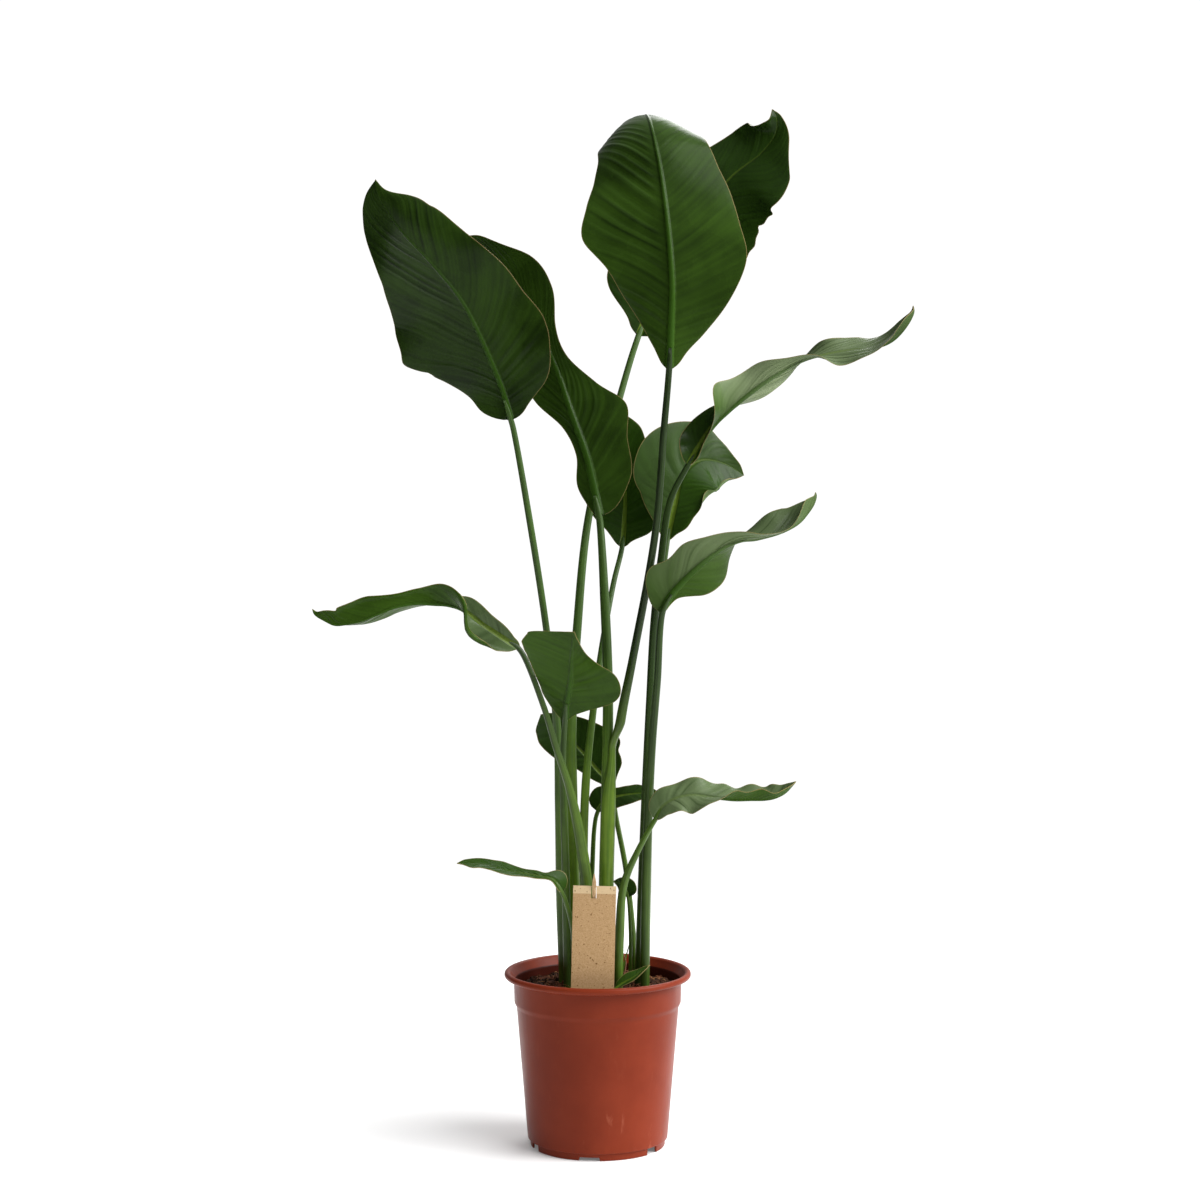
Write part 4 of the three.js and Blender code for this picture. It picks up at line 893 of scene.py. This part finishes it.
grow_leaf("leaf_08",
    relief=(1.8, 0.8), sweep=(1.4, 1.0), veins=10, rib_radius=3.8, tone=0.75, stem_tone=0.3, fresh=0.15,
    under_bloom=[[0, 0.1, 0], [0.2, 0.35, 0.04], [0.5, 0.5, 0.15], [0.7, 0.3, 0.3], [1, 0.25, 0.25]],
    bloom=[[0, 0.3, 0.3]],
    stem=[[60, -30, 206, 6], [61, -31, 321, 6], [65, -35, 449, 5.5], [69, -42, 525, 5],
          [75, -54, 602, 4.6]],
    rib=[[81, -68, 688], [89, -70, 707], [103, -73, 724], [119, -76, 740], [135, -77, 754],
         [150, -76, 765], [165, -74, 773], [180, -72, 778], [195, -69, 779], [210, -66, 782],
         [225, -62, 786], [240, -57, 792], [253, -53, 800], [263, -50, 811], [271, -48, 823],
         [274, -47, 833], [273, -47, 838]],
    face=[[0, 0.1, 0.95, 0.2], [0.3, 0, 0.95, 0.3], [0.45, -0.1, 0.7, 0.7], [0.56, -0.1, 0.1, 1],
          [0.68, 0, -0.25, 0.97], [0.85, -0.3, -0.2, 0.95], [1, -0.6, -0.1, 0.8]],
    right=[20, 40, 33, 34, 24, 20, 26, 30, 28, 20, 12], left=[5, 10, 31, 38, 36, 28, 28, 33, 31, 20, 10],
    fold=[[0, 10, 5], [0.4, 18, 15], [0.55, 15, 40], [0.68, 45, 46], [0.85, 65, 45], [1, 60, 40]],
    wave=[1, 2, 0])

grow_leaf("leaf_09",
    rib_radius=3.4, tone=0.68, stem_tone=0.5, fresh=0.2, brown=[(17, -84, 628, 5)],
    stem=[[-38, -22, 206, 5.5], [-40, -23, 319, 5.2], [-43, -28, 448, 4.6], [-44, -34, 500, 4]],
    rib=[[-41, -42, 551], [-38, -55, 578], [-34, -75, 605], [-32, -105, 638], [-28, -130, 668]],
    face=[[0, 0.1, 0.83, 0.45], [1, 0, 0.83, 0.55]],
    right=[10, 20, 31, 37, 43, 48, 53, 58, 63, 58, 38], left=[8, 24, 52, 64, 63, 53, 37, 25, 14, 6, 2],
    fold=[[0, 5, 5]], wave=[2, 2, 0])

grow_leaf("leaf_10",
    rib_radius=3.4, tone=0.8, stem_tone=0.3, fresh=0.5, bloom=[[0, 0.25, 0.2]],
    stem=[[-11, -30, 206, 8], [-12, -34, 321, 8], [-24, -42, 412, 6.8], [-37, -48, 470, 5],
          [-52, -56, 517, 4.2], [-68, -66, 572, 3.8]],
    rib=[[-98, -74, 644], [-111, -79, 653], [-127, -83, 664], [-143, -87, 675], [-158, -90, 687],
         [-171, -93, 695], [-185, -95, 699], [-200, -97, 700], [-223, -98, 701], [-238, -99, 699],
         [-254, -100, 695], [-273, -100, 687], [-293, -99, 679], [-312, -97, 675], [-325, -95, 674],
         [-337, -93, 679], [-350, -91, 687], [-353, -90, 694]],
    face=[[0, 0.3, -0.9, 0.2], [0.2, 0.3, -0.9, 0.2], [0.27, 0.2, -0.75, 0.6], [0.33, 0, -0.1, 1],
          [0.4, 0, 0.5, 0.85], [1, 0, 0.55, 0.83]],
    right=[7, 14, 18, 20, 22, 22, 22, 22, 18, 12, 6], left=[10, 24, 36, 33, 30, 21, 20, 29, 26, 18, 9],
    fold=[[0, 25, 0], [0.2, 40, 0], [0.3, 40, 25], [0.4, 40, 36], [1, 40, 38]],
    roll=[[0, 0, 0], [0.06, 0, 30], [0.15, 0, 190], [0.26, 0, 190], [0.33, 0, 50], [0.38, 0, 0],
          [1, 0, 0]],
    roll_from=0.35, wave=[1, 2.5, 0])


# ---- Low leaves. Small first leaves near the soil, on thin stems between the others. The blades of
# the smallest two are about 3 and 5 cm long.
grow_leaf("leaf_11",
    rib_radius=3, tone=0.4, fresh=0.3,
    stem=[[50, 48, 206, 4], [38, 53, 338, 3.6], [24, 61, 413, 3.3]],
    rib=[[17, 67, 453], [10, 70, 464], [-2, 74, 476], [-13, 78, 489], [-26, 82, 503], [-42, 86, 518],
         [-59, 91, 533], [-75, 95, 545]],
    face=[[0, 0, -1, 0.2], [1, 0, -1, 0.4]],
    right=[10, 28, 38, 48, 48, 42, 36, 30, 22, 12, 6], left=[6, 11, 15, 19, 24, 29, 33, 34, 33, 26, 15],
    wave=[1, 2, 0])

grow_leaf("leaf_12",
    rib_radius=2.8, tone=0.5, fresh=0.3,
    stem=[[-7, 40, 206, 3.5], [-7, 41, 350, 3.2]],
    rib=[[0, 42, 424], [11, 42, 438], [29, 43, 444], [53, 44, 447], [79, 45, 449]],
    face=[[0, -0.2, -0.8, 0.5], [1, 0, -0.7, 0.7]],
    right=[8, 14, 17, 18, 17, 17, 16, 13, 10, 6, 3], left=[12, 20, 23, 17, 12, 12, 13, 14, 11, 7, 3],
    wave=[1, 2, 0])

grow_leaf("leaf_13",
    rib_radius=3, tone=0.8, stem_tone=0.7, fresh=0.3, bloom=[[0, 0.4, 0.35]], rib_shows=0.5,
    stem=[[26, -42, 206, 6], [28, -48, 285, 5.8], [33, -54, 344, 5], [51, -62, 389, 3.8]],
    rib=[[72, -68, 429], [81, -69, 445], [98, -70, 456], [117, -70, 460], [136, -69, 458], [154, -69, 455],
         [172, -68, 453], [192, -67, 453], [210, -66, 453], [222, -65, 455], [235, -63, 461],
         [244, -62, 470], [249, -61, 476]],
    face=[[0, -0.3, -0.75, 0.5], [0.35, -0.1, -0.75, 0.65], [0.48, 0, -0.2, 0.98], [1, 0, -0.2, 0.98]],
    right=[10, 16, 20, 25, 20, 16, 17, 16, 14, 9, 5], left=[12, 20, 19, 23, 25, 25, 23, 22, 21, 14, 7],
    fold=[[0, 12, 12], [0.33, 5, 10], [0.45, 38, 36], [1, 42, 40]], wave=[2.4, 5.5, 1.2])

grow_leaf("leaf_14",
    rib_radius=2.6, tone=0.9, fresh=0.3, rib_shows=0.5,
    stem=[[-25, -48, 206, 4], [-31, -52, 286, 3.4]],
    rib=[[-45, -60, 336], [-55, -64, 352], [-72, -66, 357], [-112, -70, 365], [-147, -74, 374],
         [-176, -78, 375]],
    face=[[0, 0, -0.6, 0.7], [1, 0, -0.5, 0.8]],
    right=[10, 17, 7, 7.5, 7, 9, 11, 9.5, 9, 7, 4], left=[4, 6, 4, 7, 8, 11, 11, 9.5, 10, 10, 3],
    fold=[[0, 10, 10]], wave=[0.5, 2, 0])

grow_leaf("leaf_15",
    rib_radius=1.8, tone=0.5, fresh=0.4,
    stem=[[42, 18, 206, 2.5], [42, 20, 273, 2.2]],
    rib=[[39, 24, 315], [37, 25, 324], [30, 26, 332], [20, 27, 335]],
    face=[[0, 0.2, -0.9, 0.3], [1, 0.2, -0.8, 0.5]],
    right=[6, 10, 13, 14.5, 15, 14, 12, 9, 6.5, 3.5, 1.5],
    left=[3.5, 6, 8, 9.5, 10, 9.5, 8.5, 7, 5, 2.8, 1.2],
    fold=[[0, 5, 5]], wave=[0.3, 2, 0])

grow_leaf("leaf_16",
    rib_radius=2.2, tone=0.9, fresh=0.9,
    stem=[[12, -64, 206, 2.8]],
    rib=[[23, -68, 215], [33, -68, 222], [46, -66, 229], [56, -62, 236], [66, -58, 243]],
    face=[[0, -0.3, -0.5, 0.8], [1, -0.3, -0.4, 0.9]],
    right=[3.5, 6, 8, 9.5, 10, 9.5, 8.5, 7, 5, 3, 1.2], left=[4, 7, 9, 10.5, 11, 10.5, 9, 7, 5, 3, 1.2],
    fold=[[0, 20, 20]], wave=[0.3, 2, 0])


# ---- Young shoot. A rolled new leaf just out of the soil, a green spike. Beside it stands a thin dry
# stalk, what is left of an old stem; both grow from the soil.
SHOOT_PATH = [[26, -20, 206, 2], [32, -22, 230, 1.7], [40, -24, 262, 0.4]]      # x, y, z, radius
STALK_PATH = [[29, -38, 206, 0.9], [36, -30, 240, 0.8], [30, -26, 258, 0.5]]


def shoot_tube(path, sides=14):
    """Round tube along the shoot's line whose radius follows the path's last numbers; one side
    overlaps the other in a small spiral step."""
    grow = Growth(path[:-1], [path[-1][:3]], [[0, 0.2, -1, 0.1]], path[-1][3])
    l = np.linspace(14, grow.end - 0.3, 34)
    point, _, upper, right = grow.axes(l)
    a = 2 * np.pi * np.arange(sides) / sides
    r = np.interp(l, grow.knots[1:], [p[3] for p in path])[:, None] * (1 + 0.1 * (a / np.pi - 1))
    return l, a, ring_round(point, r, a, upper, right)


def shoot_piece(name, path, nodes, fresh, brown):
    """A shoot's tube with the stems' finish, as one piece."""
    l, a, tube = shoot_tube(path)
    rings, sides = tube.shape[:2]
    faces = np.vstack([grid_faces(rings, sides, closed=True)[:, ::-1], close_ends(rings, sides, 0)])
    piece = new_piece(name, tube, faces, nodes)
    piece.data.materials.append(stem_skin)
    marks = {"fresh": fresh, "brown": brown, "tone": 0.6}
    write_marks(piece, {k: np.full(rings * sides, v) for k, v in marks.items()},
                np.stack([np.tile(a * 0.003, rings), np.repeat(l * MM, sides)], -1))


shoot_piece("shoot_rolled", SHOOT_PATH, ["shoot_spike"], 0.6, 0.0)
shoot_piece("dry_stalk", STALK_PATH, [], 0.2, 0.95)


# ---- Tag. A bare kraft card with a pale folded top band, pushed onto a flat wooden stick through a
# slit; the stick stands in the soil behind it and its tip comes out in front.
CARD_WIDTH, CARD_HEIGHT, CARD_THICK = 54, 134, 0.8
CARD_LEAN, CARD_TILT, CARD_FOOT = -6, 1.25, (-6.5, -84, 212)
SLIT_X, SLIT_WIDTH, SLIT_FROM, SLIT_TO = -0.9, 6.4, 118.5, 132.5


def card_sheet():
    """Grid of the card's face with the slit's cells left out, given a front and a back, bowed
    slightly, then leaned back and set at its foot."""
    x = np.unique(np.concatenate([np.linspace(-CARD_WIDTH / 2, CARD_WIDTH / 2, 22),
                                  [SLIT_X - SLIT_WIDTH / 2, SLIT_X + SLIT_WIDTH / 2]]))
    z = np.unique(np.concatenate([np.linspace(0, CARD_HEIGHT, 48), [SLIT_FROM, SLIT_TO]]))
    zz, xx = np.meshgrid(z, x, indexing="ij")
    bow = 0.5 * (xx / CARD_WIDTH * 2) ** 2 - 0.25 + 0.3 * np.sin(zz / CARD_HEIGHT * np.pi)
    rows, columns = xx.shape
    flat = [np.stack([xx, bow + y, zz], -1).reshape(-1, 3) for y in (-CARD_THICK / 2, CARD_THICK / 2)]
    cx, cz = 0.5 * (x[1:] + x[:-1]), 0.5 * (z[1:] + z[:-1])
    cut = (np.abs(cx - SLIT_X)[None] < SLIT_WIDTH / 2) & ((cz > SLIT_FROM) & (cz < SLIT_TO))[:, None]
    faces = grid_faces(rows, columns)
    front = faces[~cut.ravel()]
    count = rows * columns
    edge = np.concatenate([front[:, [0, 1]], front[:, [1, 2]], front[:, [2, 3]], front[:, [3, 0]]])
    pair = set(map(tuple, edge.tolist()))
    rim = np.array([(a, a + count, b + count, b) for a, b in pair if (b, a) not in pair])
    points = np.vstack(flat)
    lean, tilt = np.radians(CARD_LEAN), np.radians(CARD_TILT)
    turn_x = np.array([[1, 0, 0], [0, np.cos(lean), -np.sin(lean)], [0, np.sin(lean), np.cos(lean)]])
    turn_y = np.array([[np.cos(tilt), 0, np.sin(tilt)], [0, 1, 0], [-np.sin(tilt), 0, np.cos(tilt)]])
    return points @ (turn_y @ turn_x).T + CARD_FOOT, np.vstack([front, front[:, ::-1] + count, rim]), points


card_points, card_faces, card_flat = card_sheet()
card = new_piece("tag_card_bare", card_points, card_faces, ["tag_card"])
card.data.polygons.foreach_set("use_smooth", np.zeros(len(card.data.polygons), bool))
write_marks(card, {"up": card_flat[:, 2] / CARD_HEIGHT}, card_flat[:, [0, 2]] * MM)
kraft, tree, shader = finish("kraft card", gloss=0.2, roughness=0.85)
grain = noise(place(tree), 600, 4, 0.7)
speck = noise(place(tree), 330, 2, 0.4)
pale = between(mark_of(tree, "up"), 0.925, 0.93)
paper = mix(between(grain, 0.35, 0.65), (160, 128, 88), (180, 148, 108))
paper = mix(reckon("MULTIPLY", pale, 0.6), paper, (214, 192, 154))
paper = mix(between(speck, 0.66, 0.71), paper, (116, 84, 50))
put(shader.inputs["Base Color"], paper)
bump(shader, grain, 0.0003, 0.4)
card.data.materials.append(kraft)

STICK_WIDTH, STICK_THICK = 5, 1.6
STICK_FOOT, STICK_TOP = np.array([-6, -44.5, 172.0]), np.array([-4.2, -74.8, 361.0])


def stick_bar():
    """Rounded rectangle carried up the stick, narrowing to a blunt point over its last part."""
    ahead = unit(STICK_TOP - STICK_FOOT)
    right = np.array([1.0, 0, 0])
    front = np.cross(ahead, right)
    a = 2 * np.pi * (np.arange(20) + 0.5) / 20
    across = np.sign(np.cos(a)) * np.abs(np.cos(a)) ** 0.45
    deep = np.sign(np.sin(a)) * np.abs(np.sin(a)) ** 0.45
    s = np.concatenate([np.linspace(0, 0.93, 24), np.linspace(0.94, 1, 12)])
    narrow = 1 - 0.72 * step(s, 0.935, 1.0) ** 1.2
    middle = STICK_FOOT + (STICK_TOP - STICK_FOOT) * s[:, None]
    return (middle[:, None] + (STICK_WIDTH / 2 * narrow[:, None] * across)[..., None] * right
            + (STICK_THICK / 2 * (0.45 + 0.55 * narrow)[:, None] * deep)[..., None] * front)


bar = stick_bar()
bar_faces = np.vstack([grid_faces(*bar.shape[:2], closed=True), close_ends(*bar.shape[:2], 0)[:, ::-1]])
stick = new_piece("tag_stick_wood", bar, bar_faces, ["tag_stick"])
wood, tree, shader = finish("pale wood", gloss=0.25, roughness=0.7)
grain = noise(place(tree, (1, 1, 0.06)), 900, 4, 0.6)
put(shader.inputs["Base Color"],
    mix(between(grain, 0.35, 0.65), (154, 120, 82), (192, 162, 122)))
bump(shader, grain, 0.0003, 0.4)
stick.data.materials.append(wood)


# ---- Room. A pale floor with a faint glow, white walls that are bright at the right and the back and
# dim at the left and behind the camera, one very wide soft lamp from the upper right, a weak one
# from the right and one from behind, and the camera, a little above the plant's middle.
CAMERA_AT, CAMERA_DROP = (0.003, -3.160, 0.862), 2.926     # metres; degrees below level
CAMERA_LENS = 74.49
BRIGHT_SIDE = (0.75, 0.25, 0.45)     # where the walls are bright
FLOOR_EDGE, FLOOR_GLOW = 1.9, 0.15

floor_mesh = bpy.data.meshes.new("floor")
corners = [(x * FLOOR_EDGE, y * FLOOR_EDGE, 0) for x, y in ((-1, -1), (1, -1), (1, 1), (-1, 1))]
floor_mesh.from_pydata(corners, [], [(0, 1, 2, 3)])
floor = add_object("floor", floor_mesh)
paper, tree, shader = finish("pale floor", gloss=0.2, roughness=0.8)
shade = noise(place(tree), 3, 2)
put(shader.inputs["Base Color"], mix(shade, (0.84, 0.84, 0.84, 1), (0.86, 0.86, 0.86, 1)))
shader.inputs["Emission Color"].default_value = (1, 1, 1, 1)
shader.inputs["Emission Strength"].default_value = FLOOR_GLOW
floor_mesh.materials.append(paper)


def soft_lamp(name, at, aim, size, power):
    """A square area lamp at one point, turned to another."""
    data = bpy.data.lights.new(name, "AREA")
    data.size, data.energy = size, power
    lamp = add_object(name, data)
    lamp.location = at
    lamp.rotation_euler = (Vector(aim) - Vector(at)).to_track_quat("-Z", "Y").to_euler()


soft_lamp("side", (2.3, -0.6, 1.9), (0, 0, 0.8), 1.5, 45)
soft_lamp("back", (0.9, 2.2, 2.7), (0, 0, 0.9), 1.6, 30)

sunlight = bpy.data.lights.new("large soft lamp", "SUN")
sunlight.energy, sunlight.angle = 3.0, np.radians(55)
sun = add_object("large soft lamp", sunlight)
sun.rotation_euler = (np.radians(45), 0, np.radians(65))

world = bpy.data.worlds.new("white room")
bpy.context.scene.world = world
world.use_nodes = True
sky = world.node_tree
sky.nodes["Background"].inputs[0].default_value = (1, 1, 1, 1)
seen = sky.nodes.new("ShaderNodeLightPath").outputs["Is Camera Ray"]
towards = sky.nodes.new("ShaderNodeVectorMath")
towards.operation = "DOT_PRODUCT"
put(towards.inputs[0], sky.nodes.new("ShaderNodeTexCoord").outputs["Generated"])
towards.inputs[1].default_value = BRIGHT_SIDE
room_light = between(towards.outputs["Value"], -0.6, 0.9, 0.06, 0.84)
seen_white = reckon("MULTIPLY", seen, 1.05)
put(sky.nodes["Background"].inputs[1], reckon("MAXIMUM", room_light, seen_white))

lens = bpy.data.cameras.new("camera")
lens.lens, lens.sensor_width = CAMERA_LENS, 36
camera = add_object("camera", lens)
camera.location = CAMERA_AT
camera.rotation_euler = (np.radians(90 - CAMERA_DROP), 0, 0)
bpy.context.scene.camera = camera
bpy.context.scene.view_settings.view_transform = "Standard"
